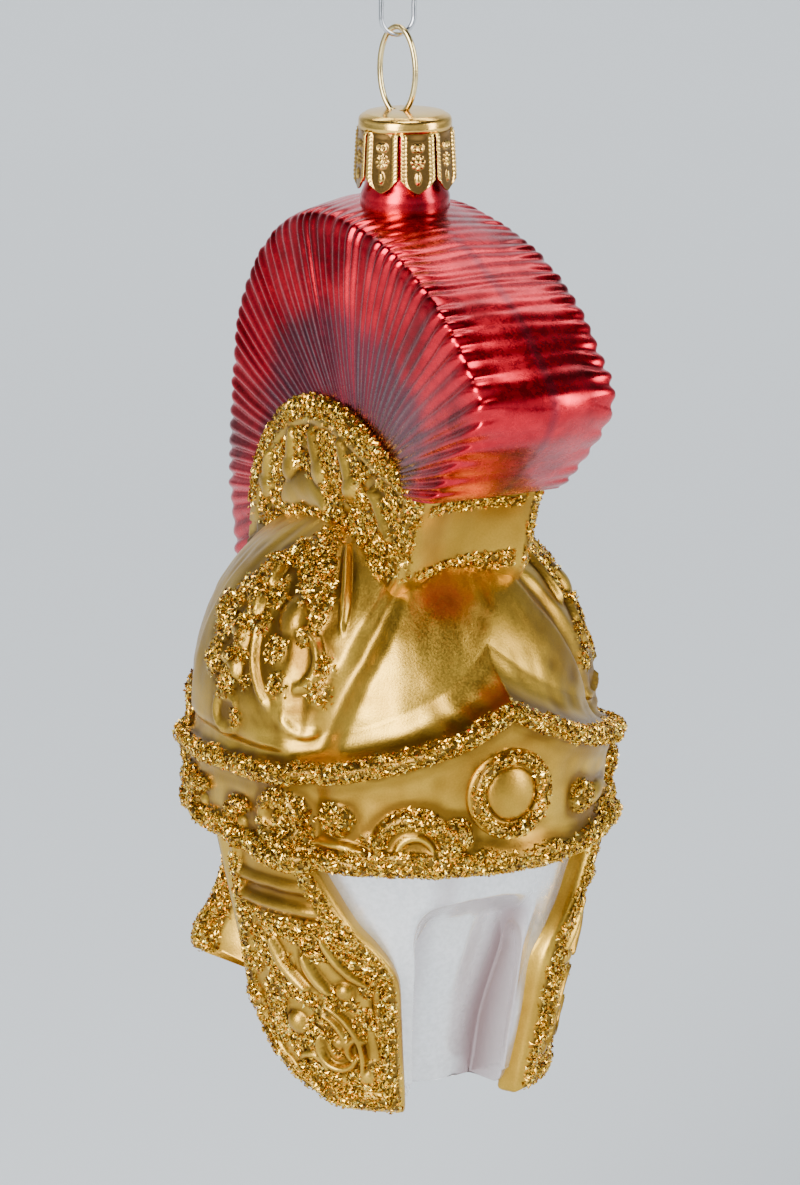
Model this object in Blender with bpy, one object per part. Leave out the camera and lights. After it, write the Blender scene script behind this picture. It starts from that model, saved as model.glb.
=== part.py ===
"""Blown-glass tree ornament in the form of a crested Roman helmet.

The glass is one mould-blown bulb: crest, crest seat, skull, brow plate, neck guard, cheek guards and the
closed face between them are all one thin wall, open only at the neck. A stamped metal cap sits on the
neck, a sprung wire loop hangs from the cap, and a plain steel link holds the loop.

The helmet faces -Y, and the wearer's right side is at -X. Sizes are in metres. Heights are measured up
from the level of the cheek guards' tips, and turns go round the helmet from the front (0) by the wearer's
right (90) to the back (180). The finished ornament is lowered so that it hangs at the origin.
"""

import math
from collections import namedtuple

import bmesh
import bpy
from mathutils import Matrix, Vector

MM = 0.001

# Skull: an egg-shaped dome over a straight band.
SKULL_HALF_WIDTH = 23.4 * MM
SKULL_HALF_LENGTH = 28.1 * MM
SKULL_SET_BACK = 3.8 * MM
SKULL_EQUATOR = 46.8 * MM
SKULL_TOP = 72.5 * MM
SIDE_CREASE_DEPTH = 1.1 * MM
SIDE_CREASE_HALF_ANGLE = 7.0
SIDE_CREASE_TURN = 52.0
SIDE_CREASE_LEAN = 34.0
SIDE_PANEL_SWELL = 0.9 * MM
SIDE_PANEL_FRONT = 62.0
SIDE_PANEL_BACK = 109.0
SIDE_PANEL_FADE = 4.0
FRONT_ENDS_AT = 70.0
FRONT_FADE = 14.0

# Brow plate: the proud band round the front, with a rim that rises to a peak. FRONT_ENDS_AT and FRONT_FADE
# are turns, where the plate's depth falls to the band's behind it.
BROW_EDGE = 32.5 * MM
BROW_RIM_SIDE = 40.5 * MM
BROW_PEAK = 52.3 * MM
BROW_PEAK_SPREAD = 44.0
BROW_PROUD = 2.6 * MM
BAND_PROUD_BEHIND = 0.9 * MM
MEDALLION_HEIGHT = 42.0 * MM
MEDALLION_RADIUS = 5.6 * MM
MEDALLION_RISE = 1.3 * MM

# Face: the closed white core inside the helmet, with a sunk channel between the cheek guards.
FACE_RECESS = 1.5 * MM
FACE_SET_BACK = 1.6 * MM
FACE_BOTTOM_FRONT = 0.2 * MM
FACE_BOTTOM_BACK = 10.5 * MM
FACE_EDGE_ROUND = 2.2 * MM
CHANNEL_HALF_WIDTH = 7.2 * MM

# Cheek guards: plates that lie on a cone narrowing downwards.
GUARD_LENGTH = 31.5 * MM
GUARD_HALF_WIDTH_TOP = 23.7 * MM
GUARD_HALF_LENGTH_TOP = 22.9 * MM
GUARD_HALF_WIDTH_TIP = 17.2 * MM
GUARD_HALF_LENGTH_TIP = 16.8 * MM
GUARD_THICKNESS = 3.4 * MM
HINGE_BAND_HEIGHT = 24.6 * MM
HINGE_BAND_PROUD = 0.7 * MM

# Neck guard: the flared collar round the back.
NECK_GUARD_EDGE = 12.9 * MM
NECK_GUARD_HALF_WIDTH = 22.8 * MM
NECK_GUARD_HALF_LENGTH = 28.6 * MM
NECK_GUARD_WAIST_INSET = 4.0 * MM
NECK_GUARD_FROM = 116.0

# Crest seat: the gold stand on the skull that carries the crest.
SEAT_HALF_WIDTH = 9.5 * MM
SEAT_LENGTH = 44.5 * MM
SEAT_FRONT = -19.4 * MM
SEAT_FOOT = 61.0 * MM
SEAT_HEIGHT = 23.8 * MM
SEAT_FRONT_NARROWING = 0.7 * MM

# Crest: a fan of ribs round a hub.
CREST_HUB_Y = -1.0 * MM
CREST_HUB_HEIGHT = 75.0 * MM
CREST_REACH = 33.5 * MM
CREST_INNER_RADIUS = 8.0 * MM
CREST_HALF_WIDTH = 9.6 * MM
CREST_CROWN = 2.0 * MM
CREST_RIB_PITCH = 2.05 * MM
CREST_RIB_DEPTH = 0.55 * MM

# Neck, cap, loop and link.
WALL = 0.9 * MM
NECK_LENGTH = 9.8725 * MM
NECK_TOP_RADIUS = 4.8 * MM
NECK_FOOT_RADIUS = 5.4 * MM
NECK_SHOULDER_FOOT = 0.4 * MM
NECK_SHOULDER_TOP = 2.5 * MM
NECK_DEPTH_IN_CREST = 6.0 * MM
CAP_SHEET = 0.3 * MM
CAP_CLEARANCE = 0.3 * MM
CAP_TOP_RADIUS = 5.6 * MM
CAP_SKIRT_RADIUS = 6.1 * MM
CAP_LENGTH = 8.8 * MM
CAP_BEVEL = 0.8 * MM
CAP_DOME = 0.5 * MM
CAP_PETALS = 8
CAP_PETAL_POINT = 1.7 * MM
CAP_PETAL_GAP = 0.45 * MM
CAP_SLIT_TOP = 1.6 * MM
CAP_TURN = 10.0
WIRE_RADIUS = 0.35 * MM
WIRE_CLEARANCE = 0.3 * MM
LOOP_HEIGHT = 10.8 * MM
LOOP_HALF_WIDTH = 2.75 * MM
LOOP_SPACING = 1.1 * MM
LOOP_LEG_LENGTH = 9.0 * MM
LOOP_TURN = 22.0
LOOP_ASIDE = 0.8 * MM
LOOP_BACK = 0.4 * MM
LINK_WIRE_RADIUS = 0.3 * MM
LINK_LENGTH = 11.0 * MM
LINK_HALF_WIDTH = 2.4 * MM
LINK_TURN = -5.0

# Cast ornament: each piece of it has its own place and size.
PANEL_ORNAMENT_TURN = 72.0
PANEL_ORNAMENT_HEIGHT = 57.5 * MM
PANEL_ORNAMENT_SIZE = 8.5 * MM
GUARD_ORNAMENT_TURN = 52.0
GUARD_ORNAMENT_HEIGHT = 12.0 * MM
GUARD_ORNAMENT_SIZE = 8.0 * MM
BOSS_TURN = 62.0
BOSS_HEIGHT = 37.8 * MM
BOSS_RADIUS = 2.3 * MM
ARCH_TURN = 26.0
ARCH_HEIGHT = 35.2 * MM
ARCH_RADIUS = 3.5 * MM
TONGUE_LENGTH = 4.8 * MM
TONGUE_HALF_WIDTH = 1.3 * MM
RELIEF_PROUD = 0.8 * MM
RELIEF_SINK = 0.5 * MM

SKULL_COLUMNS = 60
FACE_COLUMNS = 40
HOLLOW_COLUMNS = 36

# Height over the brow edge as a share of the band's height there, and how far the plate stands proud as a
# share of BROW_PROUD.
BrowRow = namedtuple("BrowRow", "height proud")
BROW_ROWS = (
    BrowRow(0.00, 0.00),
    BrowRow(0.01, 0.90),
    BrowRow(0.10, 1.15),
    BrowRow(0.25, 0.95),
    BrowRow(0.75, 1.00),
    BrowRow(0.92, 1.22),
    BrowRow(1.00, 1.50),
    BrowRow(1.06, 1.30),
    BrowRow(1.18, 0.35),
    BrowRow(1.34, 0.00),
)
DOME_ROWS = 7

# Height as a share of GUARD_LENGTH, and the turns of the plate's front and back edges.
GuardRow = namedtuple("GuardRow", "height front back")
GUARD_ROWS = (
    GuardRow(1.08, 57.0, 90.0),
    GuardRow(1.00, 55.0, 92.0),
    GuardRow(0.78, 44.7, 94.0),
    GuardRow(0.68, 36.8, 95.0),
    GuardRow(0.60, 31.5, 96.5),
    GuardRow(0.53, 29.2, 98.0),
    GuardRow(0.38, 28.5, 98.7),
    GuardRow(0.21, 28.0, 92.5),
    GuardRow(0.12, 27.6, 82.0),
    GuardRow(0.04, 27.3, 68.0),
    GuardRow(-0.02, 27.6, 52.0),
    GuardRow(-0.03, 29.0, 40.0),
)
GUARD_COLUMNS = 8

# Height as a share from the neck guard's edge up to the brow edge, and the flare there: 0 at the waist and
# 1 at the lower edge's full size.
FlareRow = namedtuple("FlareRow", "height flare")
FLARE_ROWS = (
    FlareRow(0.00, 1.00),
    FlareRow(0.08, 0.98),
    FlareRow(0.25, 0.62),
    FlareRow(0.42, 0.26),
    FlareRow(0.58, 0.06),
    FlareRow(0.72, 0.05),
    FlareRow(0.90, 0.42),
    FlareRow(1.10, 0.60),
)
NECK_GUARD_COLUMNS = 16

# The medallion's outline from its rim in to its middle: radius as a share of MEDALLION_RADIUS, and how far it
# stands over the brow plate as a share of MEDALLION_RISE.
MedallionPoint = namedtuple("MedallionPoint", "radius rise")
MEDALLION_PROFILE = (
    MedallionPoint(1.00, -1.40),
    MedallionPoint(1.00, 0.15),
    MedallionPoint(0.94, 0.85),
    MedallionPoint(0.76, 0.85),
    MedallionPoint(0.63, 0.08),
    MedallionPoint(0.59, 0.15),
    MedallionPoint(0.44, 0.70),
    MedallionPoint(0.21, 1.00),
)

# The face's underside from its edge inward: size as a share of the edge's, and how far it has rounded down
# as a share of FACE_EDGE_ROUND.
UndersideRow = namedtuple("UndersideRow", "size drop")
FACE_UNDERSIDE = (
    UndersideRow(0.96, 0.7),
    UndersideRow(0.88, 1.0),
    UndersideRow(0.60, 1.0),
    UndersideRow(0.25, 1.0),
)

# The seat's side outline: length from its front as a share of SEAT_LENGTH, and height over its foot as a
# share of SEAT_HEIGHT.
SeatPoint = namedtuple("SeatPoint", "length height")
SEAT_OUTLINE = (
    SeatPoint(0.150, 0.08),
    SeatPoint(0.095, 0.22),
    SeatPoint(0.075, 0.36),
    SeatPoint(0.050, 0.50),
    SeatPoint(0.000, 0.68),
    SeatPoint(0.030, 0.73),
    SeatPoint(0.110, 0.79),
    SeatPoint(0.210, 0.87),
    SeatPoint(0.320, 0.94),
    SeatPoint(0.430, 0.99),
    SeatPoint(0.540, 1.00),
    SeatPoint(0.640, 0.98),
    SeatPoint(0.740, 0.91),
    SeatPoint(0.840, 0.78),
    SeatPoint(0.920, 0.60),
    SeatPoint(0.975, 0.36),
    SeatPoint(1.000, 0.02),
    SeatPoint(0.900, -0.20),
    SeatPoint(0.500, -0.30),
    SeatPoint(0.250, -0.20),
)

# The hollow inside it, in the same shares.
SEAT_HOLLOW = (
    SeatPoint(0.240, 0.20),
    SeatPoint(0.140, 0.60),
    SeatPoint(0.220, 0.72),
    SeatPoint(0.540, 0.90),
    SeatPoint(0.780, 0.72),
    SeatPoint(0.880, 0.40),
    SeatPoint(0.800, 0.05),
    SeatPoint(0.620, -0.20),
    SeatPoint(0.300, -0.20),
)

# Turn round the hub from straight ahead, the reach of the crest's side edges there as a share of
# CREST_REACH, and its half width and crown as shares of CREST_HALF_WIDTH and CREST_CROWN.
CrestStation = namedtuple("CrestStation", "turn reach width crown")
CREST_OUTLINE = (
    CrestStation(6.5, 0.660, 0.96, 0.3),
    CrestStation(14.7, 0.835, 1.00, 1.1),
    CrestStation(19.5, 0.985, 1.00, 1.6),
    CrestStation(23.4, 1.095, 1.00, 1.2),
    CrestStation(27.5, 1.125, 1.00, 0.8),
    CrestStation(33.0, 1.100, 1.00, 0.6),
    CrestStation(42.0, 1.075, 1.01, 0.4),
    CrestStation(57.0, 1.020, 1.01, 0.2),
    CrestStation(77.0, 0.970, 1.00, 0.5),
    CrestStation(90.0, 0.965, 1.00, 0.9),
    CrestStation(120.0, 1.003, 0.98, 1.0),
    CrestStation(146.0, 0.980, 0.98, 1.0),
    CrestStation(164.0, 0.932, 0.97, 1.0),
    CrestStation(176.0, 0.925, 0.97, 1.0),
    CrestStation(198.0, 0.975, 0.95, 0.8),
    CrestStation(207.0, 1.020, 0.92, 0.5),
)

# Half of the crest's cross-section: radius as a share of the way from the inner radius to the side edge,
# half width as a share of CREST_HALF_WIDTH, height on the crown as a share of CREST_CROWN, and how much of
# the rib depth shows there.
CrestPoint = namedtuple("CrestPoint", "radius width crown rib")
CREST_SECTION = (
    CrestPoint(0.00, 0.82, 0.00, 0.85),
    CrestPoint(0.98, 1.00, 0.00, 1.0),
    CrestPoint(1.00, 0.95, 0.12, 1.0),
    CrestPoint(1.00, 0.00, 1.00, 0.6),
)

# The sunk channel of the face from its top down: height as a share of GUARD_LENGTH, half width as a share
# of CHANNEL_HALF_WIDTH, and how far out the floor lies beside its walls and along its middle, as shares of
# the face's own half length there.
ChannelRow = namedtuple("ChannelRow", "height half_width groove middle")
CHANNEL_ROWS = (
    ChannelRow(0.88, 0.85, 0.995, 1.000),
    ChannelRow(0.74, 1.00, 0.760, 0.810),
    ChannelRow(-0.15, 0.74, 0.400, 0.460),
)

# Cast strokes: arcs in the flat of their ornament, centred across and up from its middle, with starts and
# sweeps in degrees. Lengths are shares of the ornament's size. A stroke with no radius is a round lump.
Stroke = namedtuple("Stroke", "across up radius start sweep half_width")
PANEL_STROKES = (
    Stroke(0.20, 0.42, 0.56, 85.0, -105.0, 0.13),
    Stroke(0.50, -0.12, 0.36, 125.0, -195.0, 0.12),
    Stroke(1.00, -0.30, 1.18, 160.0, 50.0, 0.08),
    Stroke(-0.42, 0.46, 0.30, 60.0, 115.0, 0.12),
    Stroke(-0.50, 0.02, 0.30, 65.0, 115.0, 0.12),
    Stroke(-0.50, -0.42, 0.28, 70.0, 120.0, 0.12),
)
GUARD_STROKES = (
    Stroke(-0.04, -0.56, 0.36, 140.0, -250.0, 0.11),
    Stroke(0.90, 0.55, 1.60, 166.0, 30.0, 0.13),
    Stroke(-0.74, -0.24, 0.00, 0.0, 0.0, 0.20),
    Stroke(1.30, 1.20, 1.42, 195.0, 36.0, 0.10),
    Stroke(-1.05, -0.05, 1.72, 24.0, -44.0, 0.08),
)
BOSS_STROKES = (
    Stroke(0.00, 0.00, 1.00, 0.0, 345.0, 0.30),
    Stroke(0.00, 0.00, 0.00, 0.0, 0.0, 0.50),
    Stroke(-0.55, -0.10, 1.75, 120.0, 110.0, 0.28),
)
ARCH_STROKES = (
    Stroke(0.00, 0.00, 1.00, 178.0, -176.0, 0.28),
    Stroke(1.32, 0.46, 0.00, 0.0, 0.0, 0.34),
    Stroke(-2.45, 1.00, 0.00, 0.0, 0.0, 0.42),
)

# Tongues pressed up along the seat's side: place along SEAT_LENGTH from its front, height as a share of
# SEAT_HEIGHT, and lean in degrees.
Tongue = namedtuple("Tongue", "length height lean")
SEAT_TONGUES = (
    Tongue(0.18, 0.50, -32.0),
    Tongue(0.37, 0.70, -26.0),
    Tongue(0.54, 0.74, -16.0),
    Tongue(0.70, 0.66, 4.0),
    Tongue(0.84, 0.46, 14.0),
)


def smoothstep(low, high, value):
    share = min(max((value - low) / (high - low), 0.0), 1.0)
    return share * share * (3.0 - 2.0 * share)


def bump(offset, half_width):
    """1 in the middle, falling smoothly to 0 at half_width on each side."""
    return 1.0 - smoothstep(0.0, half_width, abs(offset))


def through(rows, column, at):
    """A smooth curve through one column of a table, whose first column is the place along it."""
    places = [row[0] for row in rows]
    values = [getattr(row, column) for row in rows]
    at = min(max(at, places[0]), places[-1])
    i = max(k for k in range(len(places) - 1) if places[k] <= at)
    span = places[i + 1] - places[i]
    share = (at - places[i]) / span
    before, after = max(i - 1, 0), min(i + 2, len(places) - 1)
    slope_in = (values[i + 1] - values[before]) / (places[i + 1] - places[before]) * span
    slope_out = (values[after] - values[i]) / (places[after] - places[i]) * span
    a, b = values[i], values[i + 1]
    return (
        a * (1 + 2 * share) * (1 - share) ** 2
        + slope_in * share * (1 - share) ** 2
        + b * share * share * (3 - 2 * share)
        - slope_out * share * share * (1 - share)
    )


def oval(half_width, half_length, set_back, turn, height):
    """The point of a level oval at a turn in degrees from the front."""
    angle = math.radians(turn)
    return Vector(
        (-half_width * math.sin(angle), set_back - half_length * math.cos(angle), height)
    )


def add_object(name, bm, material=None, smooth_angle=35.0):
    """Makes a named object from a bmesh, smooth apart from its sharp edges."""
    bmesh.ops.recalc_face_normals(bm, faces=bm.faces)
    if bm.calc_volume(signed=True) < 0:
        bmesh.ops.reverse_faces(bm, faces=bm.faces)
    mesh = bpy.data.meshes.new(name)
    bm.to_mesh(mesh)
    bm.free()
    mesh.shade_smooth()
    mesh.set_sharp_from_angle(angle=math.radians(smooth_angle))
    obj = bpy.data.objects.new(name, mesh)
    bpy.context.scene.collection.objects.link(obj)
    if material:
        mesh.materials.append(material)
    return obj


def as_cutter(obj):
    """Marks an object as a helper that only shapes another one."""
    obj.hide_render = True
    obj.display_type = "WIRE"
    return obj


def loft(rings):
    """A closed solid through rings of points: quads between them, and one face at each end."""
    bm = bmesh.new()
    verts = [[bm.verts.new(point) for point in ring] for ring in rings]
    count = len(verts[0])
    for low, high in zip(verts, verts[1:]):
        for i in range(count):
            k = (i + 1) % count
            bm.faces.new((low[i], low[k], high[k], high[i]))
    bm.faces.new(verts[0])
    bm.faces.new(verts[-1])
    return bm


def plate(outer, inner):
    """A closed plate between two grids of points of the same size."""
    rings = [front + back[::-1] for front, back in zip(outer, inner)]
    return loft(rings)


def principled(name, colour, roughness, metallic):
    material = bpy.data.materials.new(name)
    material.use_nodes = True
    shader = material.node_tree.nodes["Principled BSDF"]
    shader.inputs["Base Color"].default_value = (*colour, 1.0)
    shader.inputs["Roughness"].default_value = roughness
    shader.inputs["Metallic"].default_value = metallic
    material.diffuse_color = (*colour, 1.0)
    return material


def rim_height(turn):
    """The brow rim rises from the sides to a peak at the front."""
    away = abs((turn + 180.0) % 360.0 - 180.0)
    return BROW_RIM_SIDE + (BROW_PEAK - BROW_RIM_SIDE) * math.exp(-away / BROW_PEAK_SPREAD)


def front_share(turn):
    """1 over the front, 0 over the sides and back."""
    away = abs((turn + 180.0) % 360.0 - 180.0)
    return 1.0 - smoothstep(FRONT_ENDS_AT - FRONT_FADE, FRONT_ENDS_AT + FRONT_FADE, away)


def side_crease_turn(height):
    """The crease beside the brow runs down from the seat's front corner and then straight down."""
    climb = max(height - SKULL_EQUATOR, 0.0) / (SKULL_TOP - SKULL_EQUATOR)
    return SIDE_CREASE_TURN - SIDE_CREASE_LEAN * climb ** 1.3


def skull_scale(height):
    """The dome's size at a height, as a share of its size at the equator."""
    if height >= SKULL_EQUATOR:
        share = (height - SKULL_EQUATOR) / (SKULL_TOP - SKULL_EQUATOR)
        return math.sqrt(max(1.0 - share * share, 0.0))
    return 1.0 - 0.025 * (SKULL_EQUATOR - height) / (SKULL_EQUATOR - BROW_EDGE)


def skull_relief(turn, height):
    """How far the crease sinks and the side panel swells."""
    away = abs((turn + 180.0) % 360.0 - 180.0)
    crease = bump(away - side_crease_turn(height), SIDE_CREASE_HALF_ANGLE)
    behind_front = smoothstep(SIDE_PANEL_FRONT - SIDE_PANEL_FADE, SIDE_PANEL_FRONT + SIDE_PANEL_FADE, away)
    behind_back = smoothstep(SIDE_PANEL_BACK - SIDE_PANEL_FADE, SIDE_PANEL_BACK + SIDE_PANEL_FADE, away)
    panel = behind_front * (1.0 - behind_back)
    upper = smoothstep(BROW_RIM_SIDE, SKULL_EQUATOR, height)
    crown = 1.0 - smoothstep(0.55, 0.92, (height - SKULL_EQUATOR) / (SKULL_TOP - SKULL_EQUATOR))
    return crown * (SIDE_PANEL_SWELL * panel * upper - SIDE_CREASE_DEPTH * crease)


def skull_point(turn, height, proud):
    scale = skull_scale(height)
    stand = proud + skull_relief(turn, height) * min(1.0, 1.6 * scale)
    return oval(
        SKULL_HALF_WIDTH * scale + stand, SKULL_HALF_LENGTH * scale + stand, SKULL_SET_BACK, turn, height
    )


def skull_row(height_and_proud):
    turns = [360.0 * i / SKULL_COLUMNS for i in range(SKULL_COLUMNS)]
    return [skull_point(turn, *height_and_proud(turn)) for turn in turns]


def brow_row(row):
    def place(turn):
        band = rim_height(turn) - BROW_EDGE
        depth = BAND_PROUD_BEHIND + (BROW_PROUD - BAND_PROUD_BEHIND) * front_share(turn)
        return BROW_EDGE + row.height * band, row.proud * depth

    return place


def dome_row(share):
    def place(turn):
        start = BROW_EDGE + BROW_ROWS[-1].height * (rim_height(turn) - BROW_EDGE)
        return start + (SKULL_TOP - start) * math.sin(math.radians(90.0 * share)), 0.0

    return place


def make_skull():
    rings = [skull_row(brow_row(row)) for row in BROW_ROWS]
    rings += [skull_row(dome_row((i + 1) / (DOME_ROWS + 1))) for i in range(DOME_ROWS)]
    return loft(rings)


def guard_size(height):
    """Half width and half length of the cone that the cheek guards lie on."""
    share = height / GUARD_LENGTH
    return (
        GUARD_HALF_WIDTH_TIP + (GUARD_HALF_WIDTH_TOP - GUARD_HALF_WIDTH_TIP) * share,
        GUARD_HALF_LENGTH_TIP + (GUARD_HALF_LENGTH_TOP - GUARD_HALF_LENGTH_TIP) * share,
    )


def make_guard(side):
    """One cheek guard, on the wearer's right for side 1 and left for side -1."""
    outer, inner = [], []
    for row in GUARD_ROWS:
        height = row.height * GUARD_LENGTH
        half_width, half_length = guard_size(height)
        proud = HINGE_BAND_PROUD if height >= HINGE_BAND_HEIGHT else 0.0
        turns = [
            side * (row.front + (row.back - row.front) * i / GUARD_COLUMNS)
            for i in range(GUARD_COLUMNS + 1)
        ]
        outer.append([oval(half_width + proud, half_length + proud, 0.0, turn, height) for turn in turns])
        inset = GUARD_THICKNESS
        inner.append([oval(half_width - inset, half_length - inset, 0.0, turn, height) for turn in turns])
    return plate(outer, inner)


def face_bottom(y):
    """The core's underside is level at the front and climbs to the neck guard at the back."""
    climb = smoothstep(-0.3 * GUARD_HALF_LENGTH_TOP, GUARD_HALF_LENGTH_TOP, y)
    return FACE_BOTTOM_FRONT + (FACE_BOTTOM_BACK - FACE_BOTTOM_FRONT) * climb


def make_face():
    """The core: down from inside the brow to a slanting bottom with a rounded edge."""
    turns = [360.0 * i / FACE_COLUMNS for i in range(FACE_COLUMNS)]

    def core_point(turn, height, scale=1.0):
        half_width, half_length = guard_size(height)
        half_length += 0.5 * FACE_SET_BACK
        size = (scale * (half_width - FACE_RECESS), scale * (half_length - FACE_RECESS))
        return oval(*size, FACE_SET_BACK, turn, height)

    top = BROW_EDGE + BROW_PROUD
    rings = []
    for share in (0.0, 0.5, 1.0):
        ring = []
        for turn in turns:
            edge = face_bottom(core_point(turn, 0.0).y) + FACE_EDGE_ROUND
            ring.append(core_point(turn, top + (edge - top) * share))
        rings.append(ring)
    for row in FACE_UNDERSIDE:
        ring = []
        for turn in turns:
            point = core_point(turn, 0.0, row.size)
            point.z = face_bottom(point.y) + FACE_EDGE_ROUND * (1.0 - row.drop)
            ring.append(point)
        rings.append(ring)
    return loft(rings)


def make_channel():
    """The cutter that sinks the channel, with its floor a little lower beside the walls."""
    front = 2.0 * GUARD_HALF_LENGTH_TOP
    rings = []
    for row in CHANNEL_ROWS:
        height = row.height * GUARD_LENGTH
        depth = guard_size(height)[1] - FACE_RECESS
        wall = row.half_width * CHANNEL_HALF_WIDTH
        floor = ((0.88 * wall, row.groove), (0.5 * wall, 0.5 * (row.groove + row.middle)), (0.0, row.middle))
        half = [Vector((x, -share * depth, height)) for x, share in floor]
        mirrored = [Vector((-p.x, p.y, p.z)) for p in reversed(half[:-1])]
        rings.append([Vector((wall, -front, height)), *half, *mirrored, Vector((-wall, -front, height))])
    return loft(rings)


def make_neck_guard(inset=0.0):
    """The collar from its flared outside in to the core, smaller all over by an inset."""
    start = NECK_GUARD_FROM + math.degrees(inset / SKULL_HALF_WIDTH)
    span = 360.0 - 2.0 * start
    turns = [start + span * i / NECK_GUARD_COLUMNS for i in range(NECK_GUARD_COLUMNS + 1)]
    outer, inner = [], []
    for number, row in enumerate(FLARE_ROWS):
        height = NECK_GUARD_EDGE + (BROW_EDGE - NECK_GUARD_EDGE) * row.height
        lift = inset if number == 0 else 0.0
        narrowing = NECK_GUARD_WAIST_INSET * (1.0 - row.flare) + inset
        outer.append(
            [
                oval(
                    NECK_GUARD_HALF_WIDTH - narrowing,
                    NECK_GUARD_HALF_LENGTH - narrowing,
                    SKULL_SET_BACK,
                    turn,
                    height + lift,
                )
                for turn in turns
            ]
        )
        foot = FACE_BOTTOM_BACK + inset if number == 0 else height
        half_width, half_length = guard_size(height)
        sunk = FACE_RECESS + GUARD_THICKNESS
        inner.append(
            [oval(half_width - sunk, half_length - sunk, FACE_SET_BACK, turn, foot) for turn in turns]
        )
    return plate(outer, inner)


def make_medallion():
    """A round boss inside a raised ring, turned about a level axis and seated in the brow plate."""
    face = SKULL_HALF_LENGTH + BROW_PROUD - SKULL_SET_BACK
    sides = 20
    rings = []
    for point in MEDALLION_PROFILE:
        radius = point.radius * MEDALLION_RADIUS
        ring = []
        for i in range(sides):
            angle = 2.0 * math.pi * (i + 0.5) / sides
            x, z = radius * math.sin(angle), radius * math.cos(angle)
            curve = 0.5 * x * x / SKULL_HALF_WIDTH
            ring.append(Vector((x, -face - point.rise * MEDALLION_RISE + curve, MEDALLION_HEIGHT + z)))
        rings.append(ring)
    return loft(rings)


def make_seat():
    """The seat's outline carried across its width, a little narrower across its front."""
    rings = []
    for side in (-1.0, -0.5, 0.0, 0.5, 1.0):
        ring = []
        for point in SEAT_OUTLINE:
            y = SEAT_FRONT + point.length * SEAT_LENGTH
            narrow = SEAT_FRONT_NARROWING * (1.0 - smoothstep(0.0, 0.2, point.length))
            ring.append(
                Vector((side * (SEAT_HALF_WIDTH - narrow), y, SEAT_FOOT + point.height * SEAT_HEIGHT))
            )
        rings.append(ring)
    return loft(rings)


def crest_ring(turn, rib):
    """One cross-section of the crest. rib is 1 on a rib, -1 in the groove between two."""
    reach = CREST_REACH * through(CREST_OUTLINE, "reach", turn)
    half_width = CREST_HALF_WIDTH * through(CREST_OUTLINE, "width", turn)
    crown = CREST_CROWN * through(CREST_OUTLINE, "crown", turn)
    angle = math.radians(turn)
    half = []
    for point in CREST_SECTION:
        stand = 0.5 * CREST_RIB_DEPTH * rib * point.rib
        radius = CREST_INNER_RADIUS + point.radius * (reach - CREST_INNER_RADIUS)
        radius += point.crown * crown + (stand if point.radius >= 1.0 else 0.0)
        width = point.width * half_width + (stand if point.width > 0.0 else 0.0)
        half.append((width, radius))
    across = half + [(-width, radius) for width, radius in reversed(half[:-1])]
    return [
        Vector((x, CREST_HUB_Y - r * math.cos(angle), CREST_HUB_HEIGHT + r * math.sin(angle)))
        for x, r in across
    ]


def make_crest():
    first, last = CREST_OUTLINE[0].turn, CREST_OUTLINE[-1].turn
    ribs = round(math.radians(last - first) * CREST_REACH / CREST_RIB_PITCH)
    steps = 2 * ribs
    return loft(
        [crest_ring(first + (last - first) * i / steps, 1 if i % 2 else -1) for i in range(steps + 1)]
    )


def turned(profile, sides=28):
    """A solid turned about the upright axis through points of radius and height."""
    rings = []
    for radius, height in profile:
        angles = [2.0 * math.pi * (i + 0.5) / sides for i in range(sides)]
        rings.append([Vector((radius * math.cos(a), radius * math.sin(a), height)) for a in angles])
    return loft(rings)


def crest_top():
    """Height of the crest's crown on the upright axis through the neck."""
    turn = 90.0
    reach = CREST_REACH * through(CREST_OUTLINE, "reach", turn)
    return CREST_HUB_HEIGHT + reach + CREST_CROWN * through(CREST_OUTLINE, "crown", turn)


def neck_top():
    """The glass neck ends at its own length above the crest."""
    return crest_top() + NECK_LENGTH


def make_neck():
    foot = crest_top() - NECK_DEPTH_IN_CREST
    return turned(
        [
            (NECK_FOOT_RADIUS, foot),
            (NECK_FOOT_RADIUS, crest_top() + NECK_SHOULDER_FOOT),
            (NECK_TOP_RADIUS, crest_top() + NECK_SHOULDER_TOP),
            (NECK_TOP_RADIUS, neck_top()),
        ]
    )


def make_neck_bore():
    return turned(
        [
            (NECK_TOP_RADIUS - WALL, crest_top() - NECK_DEPTH_IN_CREST - CREST_HALF_WIDTH),
            (NECK_TOP_RADIUS - WALL, neck_top() + WALL),
        ]
    )


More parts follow.
